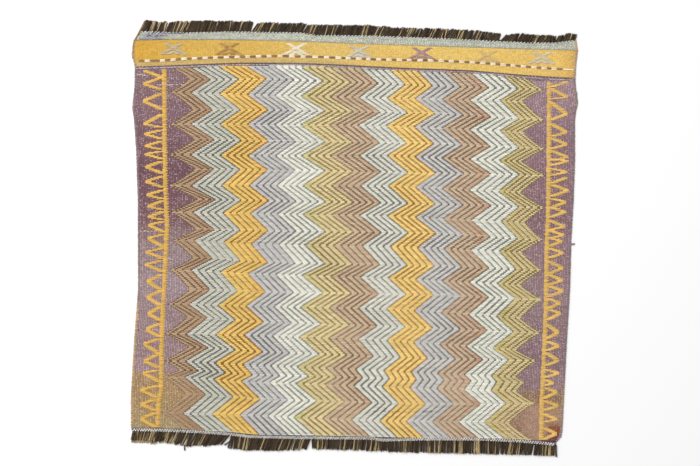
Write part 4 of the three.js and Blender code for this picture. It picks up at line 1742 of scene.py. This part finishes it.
@dataclass
class HeadBand(Brocade):
    """What is brocaded on the yellow band: crossed motifs, a dashed line, and the lines that close it.

    Args:
        seat: Height of the ends of its floats.
        pitch: Distance between two wefts of a motif.
        bar_overlap: How far the floats of a bar reach past each other.
        least_floats: The fewest floats in a bar.
    """

    seat: float = 2.0
    pitch: float = 2.2
    bar_overlap: float = 6.4
    least_floats: int = 3

    # The bars of a crossed motif, each from one end to the other
    CROSS_BARS = (
        ((-15, 8.5), (0, 0)), ((16, 8.5), (0, 0)), ((0, 0), (-22, -12)), ((0, 0), (22, -13)),
        ((0, -6), (-9, -12)), ((0, -6), (9, -12)),
    )
    CROSSES = (
        ((-325, 342.5), Dye((198, 190, 158), (206, 184, 160))),
        ((-226, 342), Dye((204, 166, 98), (178, 134, 80))),
        ((-104.5, 341.5), Dye((243, 238, 212), (240, 222, 198))),
        ((8, 336.5), Dye((214, 214, 200), (206, 196, 184))),
        ((121, 334), Dye((172, 138, 134), (194, 160, 164))),
        ((238.5, 328.5), Dye((226, 198, 132), (210, 186, 122))),
        ((337, 326), Dye((218, 210, 178), (222, 204, 184))),
    )
    # Middle of a dash [number of the dash, x]
    DASH_PLACES = [
        [0, -372.5], [1, -345.5], [5, -269], [12, -134], [17, -29.5], [23, 80], [31, 230.5], [38, 359],
    ]
    DASH_LENGTH = 9.5
    DASH_HEIGHT, BROWN_HEIGHT = 2.4, 1.9
    # Brown dashes beyond the first and last white ones, and a single white weft at the right end
    BROWN_ENDS = ((-388, -378), (364, 374))
    WHITE_END = (376, 394)
    WHITE = Dye((250, 240, 214), (248, 224, 196))
    PURPLE_BROWN = Dye((158, 130, 92), (126, 98, 84))
    # Lines under the band: name, dye, ends, how far below its edge, height, seed and room between floats
    WHOLE = (FIELD_LINE[0][0] + 2, FIELD_LINE[-1][0] - 2)
    LINES = (
        ("band_dark_line", Dye((128, 98, 98), (104, 78, 82)), WHOLE, 0.6, 2.4, 71, 0.0016),
        ("band_pale_line", Dye((192, 180, 182), (164, 144, 156)), WHOLE, 3.3, 2.8, 72, 0.0006),
        ("band_end_line", Dye((150, 134, 146), (128, 106, 124)), (262.0, 343.0), 6.3, 2.2, 73, 0.0024),
    )
    CROSS_SEED, CROSS_YARN_SEED, DASH_SEED, WHITE_SEED, BROWN_SEED = 300, 310, 7, 81, 82

    def build(self) -> list[bpy.types.Object]:
        """Makes the motifs and the lines.

        Returns:
            The pieces.
        """
        crosses = [self.cross(i, place, dye) for i, (place, dye) in enumerate(self.CROSSES)]
        return [*crosses, *self.dashes(), *(self.line(*line) for line in self.LINES)]

    def cross(self, index: int, place: Pair, dye: Dye) -> bpy.types.Object:
        """Lays one crossed motif, from floats that step along its bars.

        Args:
            index: Its number, counted from 0.
            place: Its middle.
            dye: Its dye.

        Returns:
            The piece.
        """
        net = self.net(self.CROSS_SEED + index)
        for start, end in self.CROSS_BARS:
            count = max(self.least_floats, round(abs(end[1] - start[1]) / self.pitch))
            half = (abs(end[0] - start[0]) / count + self.bar_overlap) / 2
            for i in range(count):
                x, y = mix(start, end, (i + 0.5) / count)
                x, y = x + place[0], y + place[1]
                net.lay_uneven((x - half, y), (x + half, y), self.seat, self.pitch, (-0.06, 0.04))
        name = f"cross_motif_{index + 1}"
        return self.grow(name, net, dye, self.CROSS_YARN_SEED + index, f"{name}_wool", End_gap=0.0003)

    def dashes(self) -> list[bpy.types.Object]:
        """Lays the dashed line: white dashes two wefts high, with purple brown ones between them.

        Returns:
            The white piece and the brown one.
        """
        white = self.net(self.DASH_SEED)
        brown = Net(self.plan, rng=white.rng)
        half = self.DASH_LENGTH / 2
        last = self.DASH_PLACES[-1][0]
        for number in range(last + 1):
            x, after = (read(self.DASH_PLACES, n) for n in (number, number + 1))
            longer = white.rng.uniform(-1.2, 1.2)
            self.lay_dash(white, x - half, x + half + longer, self.DASH_HEIGHT)
            if number < last:
                self.lay_dash(brown, x + half + longer, after - half, self.BROWN_HEIGHT)
        for ends in self.BROWN_ENDS:
            self.lay_dash(brown, *ends, self.BROWN_HEIGHT)
        self.lay_dash(white, *self.WHITE_END, self.DASH_HEIGHT, wefts=1)
        kinds = (
            ("white", white, self.WHITE, self.WHITE_SEED),
            ("brown", brown, self.PURPLE_BROWN, self.BROWN_SEED),
        )
        return [self.grow(f"dashes_{name}", net, dye, seed, f"wool_dash_{name}", End_gap=0.0002)
                for name, net, dye, seed in kinds]

    def lay_dash(self, net: Net, left: float, right: float, height: float, wefts: int = 2) -> None:
        """Lays one dash.

        Args:
            net: Where it is laid.
            left: Its left end.
            right: Its right end.
            height: Height of a weft of it.
            wefts: How many wefts it has.
        """
        for k in range(wefts):
            offset = (k - (wefts - 1) / 2) * height
            start, end = ((x, read(DASH_LINE, x) + offset) for x in (left, right))
            net.lay_uneven(start, end, self.seat, height, (-0.06, 0.03))

    def line(self, name: str, dye: Dye, ends: Pair, drop: float, pitch: float, seed: int, gap: float
             ) -> bpy.types.Object:
        """Lays a line of floats along the field's head edge.

        Args:
            name: Name of the piece.
            dye: Its wool.
            ends: Where it starts and ends.
            drop: How far it lies under that edge.
            pitch: Its height.
            seed: Seed of its unevenness.
            gap: Room between its floats, in metres.

        Returns:
            The piece.
        """
        net = self.net(seed)
        left, right = ends
        step = 2 * self.plan.warp_pitch
        for i in range(int((right - left) / step)):
            xs = (left + i * step, left + (i + 1) * step)
            start, end = ((x, read(FIELD_LINE, x) - drop) for x in xs)
            net.lay_uneven(start, end, self.seat, pitch, (-0.12, 0.08))
        return self.grow(name, net, dye, seed, End_gap=gap)


@dataclass
class WovenSheet:
    """A closed piece of weft-faced plain weave: ridged over its warps on top, flat underneath.

    Args:
        plan: The weave plan.
        name: Name of the piece.
        rows: Points [x, y] of each row, the same number in each, from head to foot.
        dyes: Colour of each row's points, in linear light, with slubs and painted furrow shade as its alpha.
        ribs: Rib number of each row's points, 0 outside the field.
        washes: How far that colour hides the dark ground and its painted shadow at each row's points.
        ground: Height of its top.
        edge: Height at its long ends.
        ridge: Height of a warp over the furrow beside it.
        swell: Height of its soft unevenness.
        passes_per_mm: Wefts in a millimetre along the warps.
    """

    plan: WeavePlan
    name: str
    rows: list[np.ndarray]
    dyes: list[np.ndarray]
    ribs: list[np.ndarray]
    washes: list[np.ndarray]
    ground: float = 2.05
    edge: float = 1.15
    ridge: float = 0.2
    swell: float = 0.18
    passes_per_mm: float = 0.68

    # How much of the edge's height the columns have, from the edge inwards
    THINNING = (1.0, 0.35, 0.1)

    def build(self, finish: bpy.types.Material) -> bpy.types.Object:
        """Makes the piece as one closed mesh.

        Args:
            finish: Its material.

        Returns:
            The piece.
        """
        grid = np.stack(self.rows)
        count, width = grid.shape[:2]
        heights = self.heights(grid).ravel()
        top = [self.plan.to_frame(x, y, z) for (x, y), z in zip(grid.reshape(-1, 2), heights)]
        corners = (i * width + j for i in range(count - 1) for j in range(width - 1))
        faces = [(a, a + width, a + width + 1, a + 1) for a in corners]
        rim = list(range(width))
        rim += [i * width + width - 1 for i in range(1, count)]
        rim += [(count - 1) * width + j for j in range(width - 2, -1, -1)]
        rim += [i * width for i in range(count - 2, 0, -1)]
        base, middle = len(top), grid.reshape(-1, 2).mean(0)
        sides = [(k, (k + 1) % len(rim)) for k in range(len(rim))]
        faces += [(rim[k], rim[after], base + after, base + k) for k, after in sides]
        faces += [(base + len(rim), base + k, base + after) for k, after in sides]
        floor = [(top[i][0], top[i][1], 0.0) for i in rim]
        mesh = bpy.data.meshes.new(self.name)
        mesh.from_pydata([*top, *floor, self.plan.to_frame(middle[0], middle[1], 0.0)], [], faces)
        self.store(mesh, grid, rim)
        mesh.materials.append(finish)
        mesh.polygons.foreach_set("use_smooth", np.ones(len(mesh.polygons), bool))
        lay_flat_map(mesh)
        piece = bpy.data.objects.new(self.name, mesh)
        bpy.context.scene.collection.objects.link(piece)
        log.info("%s: %d rows of %d points", self.name, count, width)
        return piece

    def heights(self, grid: np.ndarray) -> np.ndarray:
        """Height of each point: a ridge on every warp, a soft swell, and thin edges.

        Args:
            grid: The points, row by row.

        Returns:
            The heights in millimetres.
        """
        count, width = grid.shape[:2]
        ridges = np.where(np.arange(width) % 2 == 1, self.ridge, -self.ridge) / 2
        x, y = grid[..., 0], grid[..., 1]
        # Waves of several lengths in millimetres that cross each other, and finer ones of half their height
        swell = np.sin(x / 47 + np.sin(y / 61)) * np.sin(y / 53 + 1.3 * np.sin(x / 83))
        swell = swell + 0.5 * np.sin(x / 19 + y / 23)
        heights = self.ground + ridges[None, :] + self.swell * swell
        for step, share in enumerate(self.THINNING):
            for column in (step, width - 1 - step):
                heights[:, column] += share * (self.edge - heights[:, column])
        return heights

    def store(self, mesh: bpy.types.Mesh, grid: np.ndarray, rim: list[int]) -> None:
        """Gives the mesh its dye, its rib numbers, its washes and its map of warps and passes.

        Args:
            mesh: The mesh.
            grid: Its points on top, row by row.
            rim: The points on top that its underside repeats.
        """
        extra = len(rim) + 1
        dye = np.concatenate([*self.dyes, np.repeat(self.dyes[0][:1], extra, 0)])
        dye[-extra:-1] = dye[rim]
        layer = mesh.attributes.new("dye", "FLOAT_COLOR", "POINT")
        layer.data.foreach_set("color", dye.astype(np.float32).ravel())
        for name, rows in (("rib", self.ribs), ("wash", self.washes)):
            values = np.concatenate([*rows, np.zeros(extra)]).astype(np.float32)
            mesh.attributes.new(name, "FLOAT", "POINT").data.foreach_set("value", values)
        warps = np.tile(np.arange(grid.shape[1]) / 2, len(grid))
        passes = -grid[..., 1].ravel() * self.passes_per_mm
        spots = np.stack([warps, passes], 1)
        lay_map(mesh, "weave", np.concatenate([spots, spots[rim], spots[:1]]))


@dataclass
class GroundCloth:
    """The cloth under the brocade: the yellow head band, the purple side borders and the field's dark ground,
    with painted shadow between the floats.

    Args:
        plan: The weave plan.
        effects: The shared effects.
        band_rows: Rows of its mesh across the head band.
        row_shares: Rows of its mesh from one turn to the next.
    """

    plan: WeavePlan
    effects: Effects
    band_rows: tuple[float, ...] = (0, 0.125, 0.25, 0.375, 0.5, 0.625, 0.75, 0.875, 0.985, 1.015)
    row_shares: tuple[float, ...] = (0.0, 0.1, 0.28, 0.5, 0.72, 0.9)

    # Dye of the borders: [y, colour], from head to foot
    LEFT_DYES = [
        [310, (152, 122, 124)], [230, (146, 114, 120)], [175, (136, 102, 109)], [120, (128, 92, 100)],
        [70, (134, 98, 105)], [30, (140, 104, 106)], [14, (156, 127, 126)], [-20, (168, 144, 146)],
        [-90, (175, 151, 156)], [-140, (171, 143, 144)], [-238, (174, 144, 144)], [-246, (187, 153, 113)],
        [-300, (188, 156, 107)], [-340, (192, 168, 120)],
    ]
    RIGHT_DYES = [
        [290, (182, 153, 160)], [240, (177, 146, 152)], [190, (163, 131, 139)], [100, (161, 126, 131)],
        [30, (155, 122, 126)], [-20, (166, 134, 139)], [-120, (171, 142, 144)], [-200, (158, 128, 133)],
        [-266, (168, 138, 141)], [-283, (173, 138, 108)], [-325, (177, 139, 112)], [-370, (173, 132, 106)],
    ]
    # Dye of the head band: [x, colour], from left to right
    BAND_DYES = [
        [-398, (214, 164, 62)], [-350, (217, 171, 74)], [-270, (216, 176, 86)], [-170, (222, 181, 91)],
        [-50, (229, 194, 110)], [70, (234, 196, 108)], [180, (238, 201, 112)], [370, (240, 199, 110)],
        [388, (230, 186, 100)], [398, (208, 172, 106)],
    ]
    # The paler strip under the dashes: dye, the position where it starts, and how it fades out to the right
    UNDER_DASHES = (206, 178, 118)
    UNDER_FROM = 0.8
    UNDER_SHARE, UNDER_END, UNDER_FADE = 0.8, 30, 80
    # Share of pale slubs, and strength of the painted shade in the furrows, in the borders
    SPECKLE = 0.75
    # Below these heights the dark ground, painted shadow included, is hidden between the outer stripes'
    # yarns: y, softness, most
    LEFT_WASH = (-242, 14, 0.5)
    RIGHT_WASH = (-284, 20, 0.45)
    # The stained corner at the right of the foot: dye, left side, top, how softly it starts, and its slubs
    # and painted furrow shade
    STAINS = (
        ((182, 146, 122), 296, -292, 16.0, 0.35), ((146, 80, 48), 343, -332, 9.0, 0.3),
        ((66, 48, 84), 333, -362.5, 2.5, 0.2),
    )

    def build(self) -> bpy.types.Object:
        """Makes the ground as one sheet from the head edge to the foot.

        Returns:
            The piece.
        """
        plan = self.plan
        turns = range(plan.FIRST_TURN, plan.last_line)
        inner = (turn + share for turn in turns for share in self.row_shares)
        positions = [*self.band_rows, *inner, plan.last_line]
        columns = 2 * round((RIGHT_SELVAGE[0][1] - LEFT_SELVAGE[0][1]) / plan.warp_pitch) + 1
        rows, dyes, ribs, washes = [], [], [], []
        for position in positions:
            weft = plan.weft(position)
            x = np.linspace(weft.knots[0][0], weft.knots[-1][0], columns)
            y = weft.height(x)
            rib = weft.rib_at(x) if position > plan.FIELD_START else np.zeros(columns)
            rows.append(np.stack([x, y], 1))
            dyes.append(self.dye_at(position, x, y))
            ribs.append(rib)
            washes.append(np.where(rib < RIBS_PER_STRIPE, self.wash(y, *self.LEFT_WASH), 0)
                          + np.where(rib > LAST_RIB - RIBS_PER_STRIPE, self.wash(y, *self.RIGHT_WASH), 0))
        sheet = WovenSheet(plan, "ground_cloth", rows, dyes, ribs, washes)
        return sheet.build(WovenFinish("wool_ground").material(self.effects))

    @staticmethod
    def wash(y: np.ndarray, start: float, soft: float, most: float) -> np.ndarray:
        """How far the border's colour hides the dark ground and its painted shadow at each y."""
        return np.clip((start - y) / soft, 0, most)

    def dye_at(self, position: float, x: np.ndarray, y: np.ndarray) -> np.ndarray:
        """Colour of the ground along one row.

        Args:
            position: The row's position, as WeavePlan.weft counts it.
            x: The row's points along the wefts.
            y: Their heights along the warps.

        Returns:
            The colours in linear light, with the share of slubs and painted furrow shade as alpha.
        """
        if position < self.plan.FIELD_START:
            dye = self.dye_of(self.BAND_DYES, x, 0.0)
            faded = np.clip((self.UNDER_END - x) / self.UNDER_FADE, 0, 1) * (position > self.UNDER_FROM)
            paler = np.array(linear(self.UNDER_DASHES, 0.0)) - dye
            return dye + (self.UNDER_SHARE * faded)[:, None] * paler
        dye = np.where(x[:, None] < 0, self.dye_of(self.LEFT_DYES, y), self.dye_of(self.RIGHT_DYES, y))
        for colour, left, top, soft, speckle in self.STAINS:
            share = np.clip((x - left) / soft, 0, 1) * np.clip((top - y) / soft, 0, 1)
            dye = dye + share[:, None] * (np.array(linear(colour, speckle)) - dye)
        return dye

    @staticmethod
    def dye_of(table: Sequence, value: np.ndarray, speckle: float = SPECKLE) -> np.ndarray:
        """Reads a table of dyes.

        Args:
            table: Rows of [input, colour].
            value: The inputs.
            speckle: Share of slubs, and strength of the painted furrow shade.

        Returns:
            A colour in linear light for each input, with the share of slubs and painted furrow shade as
            alpha.
        """
        rows = sorted(table)
        colours = np.array([linear(colour, speckle) for _, colour in rows])
        return np.stack([np.interp(value, [row[0] for row in rows], part) for part in colours.T], 1)


@dataclass
class EndBand(Brocade):
    """The narrow strip at one end of the cloth that locks the last weft, and the twining along it.

    Args:
        name: Which end it is.
        seam: Where it meets the cloth.
        roots: Where the fringe stands out of it.
        towards: 1 if the fringe lies up the rug, -1 if down.
        dye: Its wool.
        steps: Rows of faces in the strip.
        tinge: A stretch of it that another dye has run into: from x, to x, and the dye.
        parting: Room between it and the cloth.
        turn_pitch: Distance between two turns of the twining.
        turn_shares: How much of that distance a turn covers, in the outer and the inner row.
        under: How bright the strip is beside its wool, at its left and right end.
        speckle: Share of slubs in it, and strength of its painted furrow shade.
    """

    name: str
    seam: Table
    roots: Table
    towards: int
    dye: Dye
    steps: int = 4
    tinge: tuple[float, float, Colour] = (0.0, 0.0, (0, 0, 0))
    parting: float = 0.3
    turn_pitch: float = 6.2
    turn_shares: Pair = (0.8, 0.92)
    under: Pair = (0.95, 1.06)
    speckle: float = 0.6

    SLUB = (232, 228, 214)
    # The twining's rows: how far each lies inside the roots, and which way its turns slant
    TWINED_ROWS = ((0.5, 1.1), (2.9, -1.1))
    TWINED_SEAT, TWINED_HEIGHT = 1.8, 2.2
    # Height of the strip, of its ends and of its unevenness
    STRIP = {"ground": 1.9, "edge": 1.4, "swell": 0.05}
    SEED, YARN_SEED = 90, 95

    def build(self) -> list[bpy.types.Object]:
        """Makes the strip and its twined edge.

        Returns:
            The two pieces.
        """
        columns = 2 * round((self.roots[-1][0] - self.roots[0][0]) / self.plan.warp_pitch) + 1
        x_in, x = (np.linspace(table[0][0], table[-1][0], columns) for table in (self.seam, self.roots))
        inner = np.stack([x_in, read(self.seam, x_in) + self.towards * self.parting], 1)
        outer = np.stack([x, read(self.roots, x)], 1)
        rows = [inner + k / self.steps * (outer - inner) for k in range(self.steps + 1)]
        if self.towards > 0:
            rows.reverse()
        dye = np.tile(np.array(linear(self.dye.face, self.speckle)), (columns, 1))
        dye[:, :3] *= np.linspace(*self.under, columns)[:, None]
        low, high, colour = self.tinge
        inside = (x > low) & (x < high)
        dye[inside] = 0.5 * dye[inside] + 0.5 * np.array(linear(colour, self.speckle))
        none = [np.zeros(columns)] * len(rows)
        sheet = WovenSheet(self.plan, f"{self.name}_band", rows, [dye] * len(rows), none, none, **self.STRIP)
        finish = WovenFinish(f"wool_{self.name}_band", slub=self.SLUB, slub_share=0.2)
        return [sheet.build(finish.material(self.effects)), self.twining()]

    def twining(self) -> bpy.types.Object:
        """Lays two yarns twisted round each other along the roots, seen as slanting turns.

        Returns:
            The piece.
        """
        net = self.net(self.SEED + self.towards)
        left, right = self.roots[0][0], self.roots[-1][0]
        for i in range(int((right - left) / self.turn_pitch)):
            for row, (inside, slant) in enumerate(self.TWINED_ROWS):
                x = left + (i + 0.5 + row / 2) * self.turn_pitch
                y = read(self.roots, x) - self.towards * inside
                half = self.turn_pitch * self.turn_shares[row] / 2
                start, end = (x - half, y - slant), (x + half, y + slant)
                net.lay_uneven(start, end, self.TWINED_SEAT, self.TWINED_HEIGHT, (-0.16, 0.06))
        return self.grow(f"{self.name}_twining", net, self.dye, self.YARN_SEED + self.towards, End_gap=0.0001,
                         Rise=0.001)


@dataclass
class Fringe:
    """The cut warp ends at one end of the rug, in clumps that lean and part.

    Args:
        plan: The weave plan.
        name: Name of the piece.
        roots: Where it stands out of the end band.
        cut: Its cut line.
        lean: How far its tips lean sideways.
        parts: Where it parts.
        blond: Where blond warps are among the dark ones.
        loners: Single strands.
        under: Where blond ends show past the dark ones.
        towards: 1 if it lies up the rug, -1 if down.
        seed: Seed of its clumps.
        stray_blond: Share of blond warps elsewhere.
        stray_width: Their width beside a whole warp.
        overlap: How far the ends run back over the end band.
        ragged: How ragged the cut is along it.
        clump_pull: How far a tip is drawn to the middle of its clump.
        cut_noise: How much a warp's length differs.
        inset: How far its first and last warp stand in from the ends of the band.
    """

    plan: WeavePlan
    name: str
    roots: Table
    cut: Table
    lean: Table
    parts: Table
    blond: Table
    loners: Table
    under: Table
    towards: int
    seed: int
    stray_blond: float = 0.06
    stray_width: float = 0.28
    overlap: float = 1.5
    ragged: Table = ((0, 1), (1, 1))
    clump_pull: float = 0.28
    cut_noise: float = 0.9
    inset: float = 1.5

    # Warps in a clump, how far its middle may be off, and how much shorter it may be cut
    CLUMPS = (1, 2, 2, 3, 3, 4)
    CLUMP_OFF, CLUMP_SHORTER = 1.2, 2.0
    # How fast the push of a parting fades along the fringe, and how far a tip strays by itself
    PUSH_REACH = 11
    STRAY = 0.5
    # Height of a dark tip, how much higher a blond one lies, and how far aside its root and its tip may be
    LIFT = (0.5, 1.6)
    BLOND_LIFT, BLOND_OFF, BLOND_ASIDE = 0.9, 1.2, 1.3
    # Height of the root, range of the tone and range of the tint of dark, blond and hidden ends
    DARK = (1.25, (0.8, 1.15), (0.0, 0.1))
    BLOND = (1.7, (0.85, 1.1), (0.75, 1.0))
    HIDDEN = (0.9, (0.9, 1.05), (0.75, 0.9))
    HIDDEN_TIP, HIDDEN_WIDTH = 0.5, 0.8
    # Heights, range of the tone, tint and width of a lone strand
    LONE_ROOT, LONE_TIP, LONE_TONES, LONE_TINT, LONE_WIDTH = 1.9, 1.2, (0.7, 0.9), 0.05, 0.5

    def build(self, strands: Strands, finish: bpy.types.Material) -> bpy.types.Object:
        """Makes the fringe from one guide for each warp.

        Args:
            strands: The form of a bunch of hairs.
            finish: Its material.

        Returns:
            The piece.
        """
        rng = random.Random(self.seed)
        start, end = self.roots[0][0] + self.inset, self.roots[-1][0] - self.inset
        count = round((end - start) / self.plan.warp_pitch)
        xs = [start + (i + 0.5) * (end - start) / count for i in range(count)]
        guides = Guides(self.plan)
        while xs:
            size = rng.choice(self.CLUMPS)
            clump, xs = xs[:size], xs[size:]
            centre = sum(clump) / len(clump) + rng.uniform(-self.CLUMP_OFF, self.CLUMP_OFF)
            shorter = rng.uniform(0, self.CLUMP_SHORTER)
            for x in clump:
                self.add_warp(guides, rng, x, centre, shorter)
        for x, y, tip_x, tip_y in self.loners:
            guides.add((x, y, self.LONE_ROOT), (tip_x, tip_y, self.LONE_TIP),
                       tone=rng.uniform(*self.LONE_TONES), tint=self.LONE_TINT, bunch=self.LONE_WIDTH)
        return strands.grow(self.name, guides, finish, self.seed)

    def add_warp(self, guides: Guides, rng: random.Random, x: float, centre: float, shorter: float) -> None:
        """Adds one warp's cut end, with the blond ends that lie on it or under it.

        Args:
            guides: Where they are added.
            rng: The fringe's random numbers.
            x: Where the warp leaves the end band.
            centre: The middle of its clump.
            shorter: How much shorter that clump is cut.
        """
        pulled = x + self.clump_pull * (centre - x)
        tip_x = pulled + read(self.lean, x) + self.push(x) + rng.uniform(-self.STRAY, self.STRAY)
        drop = read(self.ragged, x) * (shorter + rng.uniform(0, self.cut_noise))
        tip_y = read(self.cut, tip_x) - self.towards * drop
        root_y = read(self.roots, x) - self.towards * self.overlap
        lift = rng.uniform(*self.LIFT)
        self.add_end(guides, rng, self.DARK, (x, root_y), (tip_x, tip_y, lift), 1.0)
        width = self.blond_width(rng, x)
        if width > 0:
            aside = rng.uniform(-self.BLOND_OFF, self.BLOND_OFF)
            tip = (tip_x + aside * self.BLOND_ASIDE, tip_y, lift + self.BLOND_LIFT)
            self.add_end(guides, rng, self.BLOND, (x + aside, root_y), tip, width)
        for low, high, past in self.under:
            if low <= x <= high:
                tip = (tip_x, tip_y + self.towards * past, self.HIDDEN_TIP)
                self.add_end(guides, rng, self.HIDDEN, (x, root_y), tip, self.HIDDEN_WIDTH)

    @staticmethod
    def add_end(guides: Guides, rng: random.Random, kind: tuple[float, Pair, Pair], root: Pair, tip: Point,
                width: float) -> None:
        """Adds one end of a kind.

        Args:
            guides: Where it is added.
            rng: The fringe's random numbers.
            kind: Height of its root, and the ranges of its tone and its tint.
            root: Its root.
            tip: Its tip.
            width: Its width beside a whole warp.
        """
        height, tones, tints = kind
        guides.add((*root, height), tip, tone=rng.uniform(*tones), tint=rng.uniform(*tints), bunch=width)

    def push(self, x: float) -> float:
        """How far a tip is pushed from the places where the fringe parts.

        Args:
            x: Where its warp is.

        Returns:
            The distance, above 0 to the right.
        """
        total = 0.0
        for place, width in self.parts:
            away = x - place
            total += math.copysign(width / 2, away) * math.exp(-abs(away) / self.PUSH_REACH)
        return total

    def blond_width(self, rng: random.Random, x: float) -> float:
        """Draws how wide a blond end lies on a warp.

        Args:
            rng: The fringe's random numbers.
            x: Where the warp is.

        Returns:
            The width beside a whole warp, or 0 where there is none.
        """
        chance = rng.random()
        for low, high, share, width in self.blond:
            if low <= x <= high and chance < share:
                return width
        return self.stray_width if chance < self.stray_blond else 0.0


@dataclass
class Studio:
    """The pale floor, the soft light and the camera.

    Args:
        plan: The weave plan.
        width_seen: How much of the floor the camera sees from left to right, in metres.
        centre_seen: The middle of that, in the tables' millimetres.
        distance: Height of the camera in metres.
    """

    plan: WeavePlan
    width_seen: float = 1.26
    centre_seen: Pair = (-8.1, 9.0)
    distance: float = 3.2

    FLOOR_HALF = 40.0
    FLOOR_DROP = 0.0002
    FLOOR_PAINT = (0.97, 0.97, 0.97, 1)
    SURROUND = 0.66
    # The large light: where it hangs, its side and its power
    LAMP_PLACE = (-1.5, 1.3, 2.4)
    LAMP_SIDE, LAMP_POWER = 2.2, 66.0
    FILM = 36.0

    def build(self) -> None:
        """Makes the studio round the rug."""
        self.floor()
        self.light()
        self.camera()

    def floor(self) -> None:
        """Makes a wide pale floor just under the rug."""
        half = self.FLOOR_HALF
        mesh = bpy.data.meshes.new("floor")
        corners = [(-half, -half, 0), (half, -half, 0), (half, half, 0), (-half, half, 0)]
        mesh.from_pydata(corners, [], [(0, 1, 2, 3)])
        material = bpy.data.materials.new("floor_paint")
        material.use_nodes = True
        shader = material.node_tree.nodes["Principled BSDF"]
        paint = {"Base Color": self.FLOOR_PAINT, "Roughness": 1.0, "Specular IOR Level": 0.0}
        Graph(material.node_tree).put(shader, paint)
        mesh.materials.append(material)
        floor = bpy.data.objects.new("floor", mesh)
        floor.location.z = -self.FLOOR_DROP
        bpy.context.scene.collection.objects.link(floor)

    def light(self) -> None:
        """Makes a bright surround, and one large soft light from the upper left."""
        scene = bpy.context.scene
        world = bpy.data.worlds.new("surround")
        world.use_nodes = True
        surround = {"Color": (1, 1, 1, 1), "Strength": self.SURROUND}
        Graph(world.node_tree).put(world.node_tree.nodes["Background"], surround)
        scene.world = world
        scene.view_settings.view_transform = "Standard"
        lamp = bpy.data.lights.new("softbox", "AREA")
        lamp.shape = "SQUARE"
        lamp.size = self.LAMP_SIDE
        lamp.energy = self.LAMP_POWER
        holder = bpy.data.objects.new("softbox", lamp)
        holder.location = self.LAMP_PLACE
        holder.rotation_mode = "QUATERNION"
        holder.rotation_quaternion = (-Vector(self.LAMP_PLACE)).to_track_quat("-Z", "Y")
        scene.collection.objects.link(holder)

    def camera(self) -> None:
        """Makes a camera straight above, framed as the photograph is."""
        data = bpy.data.cameras.new("camera")
        data.sensor_width = self.FILM
        data.lens = data.sensor_width * self.distance / self.width_seen
        camera = bpy.data.objects.new("camera", data)
        x, y, _ = self.plan.to_frame(*self.centre_seen, 0)
        camera.location = (x, y, self.distance)
        bpy.context.scene.collection.objects.link(camera)
        bpy.context.scene.camera = camera


def main() -> None:
    """Builds the rug piece by piece and hangs each piece on the frame."""
    logging.basicConfig(level=logging.INFO, format="%(name)s: %(message)s")
    plan, effects, strands = WeavePlan(), Effects(), Strands()
    kit = (plan, LaidYarns(), effects)
    Studio(plan).build()

    ground = GroundCloth(plan, effects).build()
    stripes = StripeField(*kit).build()
    ladders = [Ladder(*kit, side).build() for side in Side]
    band = HeadBand(*kit).build()
    details = Details(*kit).build()
    head = EndBand(*kit, "head", PALE_LINE, HEAD_ROOTS, 1, Dye((200, 203, 186), (222, 219, 218)),
                   tinge=(-378, -336, (132, 130, 168))).build()
    foot = EndBand(*kit, "foot", FOOT_LINE, FOOT_ROOTS, -1, Dye((250, 248, 240), (224, 218, 226)),
                   steps=2, turn_pitch=4.6, turn_shares=(0.62, 0.5), under=(0.15, 0.15)).build()
    hair = HairFinish("goat_hair").material(effects)
    head_fringe = Fringe(plan, "head_warp_ends", HEAD_ROOTS, HEAD_CUT, HEAD_LEAN, HEAD_PARTS, HEAD_BLOND,
                         HEAD_LONERS, [], 1, 21).build(strands, hair)
    foot_fringe = Fringe(plan, "foot_warp_ends", FOOT_ROOTS, FOOT_CUT, FOOT_LEAN, FOOT_PARTS, FOOT_BLOND,
                         FOOT_LONERS, FOOT_UNDER, -1, 22, stray_blond=0.05, overlap=2.2,
                         ragged=FOOT_RAGGED).build(strands, hair)

    woven = [*stripes, *ladders, *band, *details]
    ends = [*head, *foot]
    for piece in (ground, *woven, *ends):
        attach(piece, "root")
    for piece in (head_fringe, foot_fringe):
        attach(piece, "root")
    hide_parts("rug_cloth")
    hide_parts("head_fringe")
    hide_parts("foot_fringe")


if __name__ == "__main__":
    main()
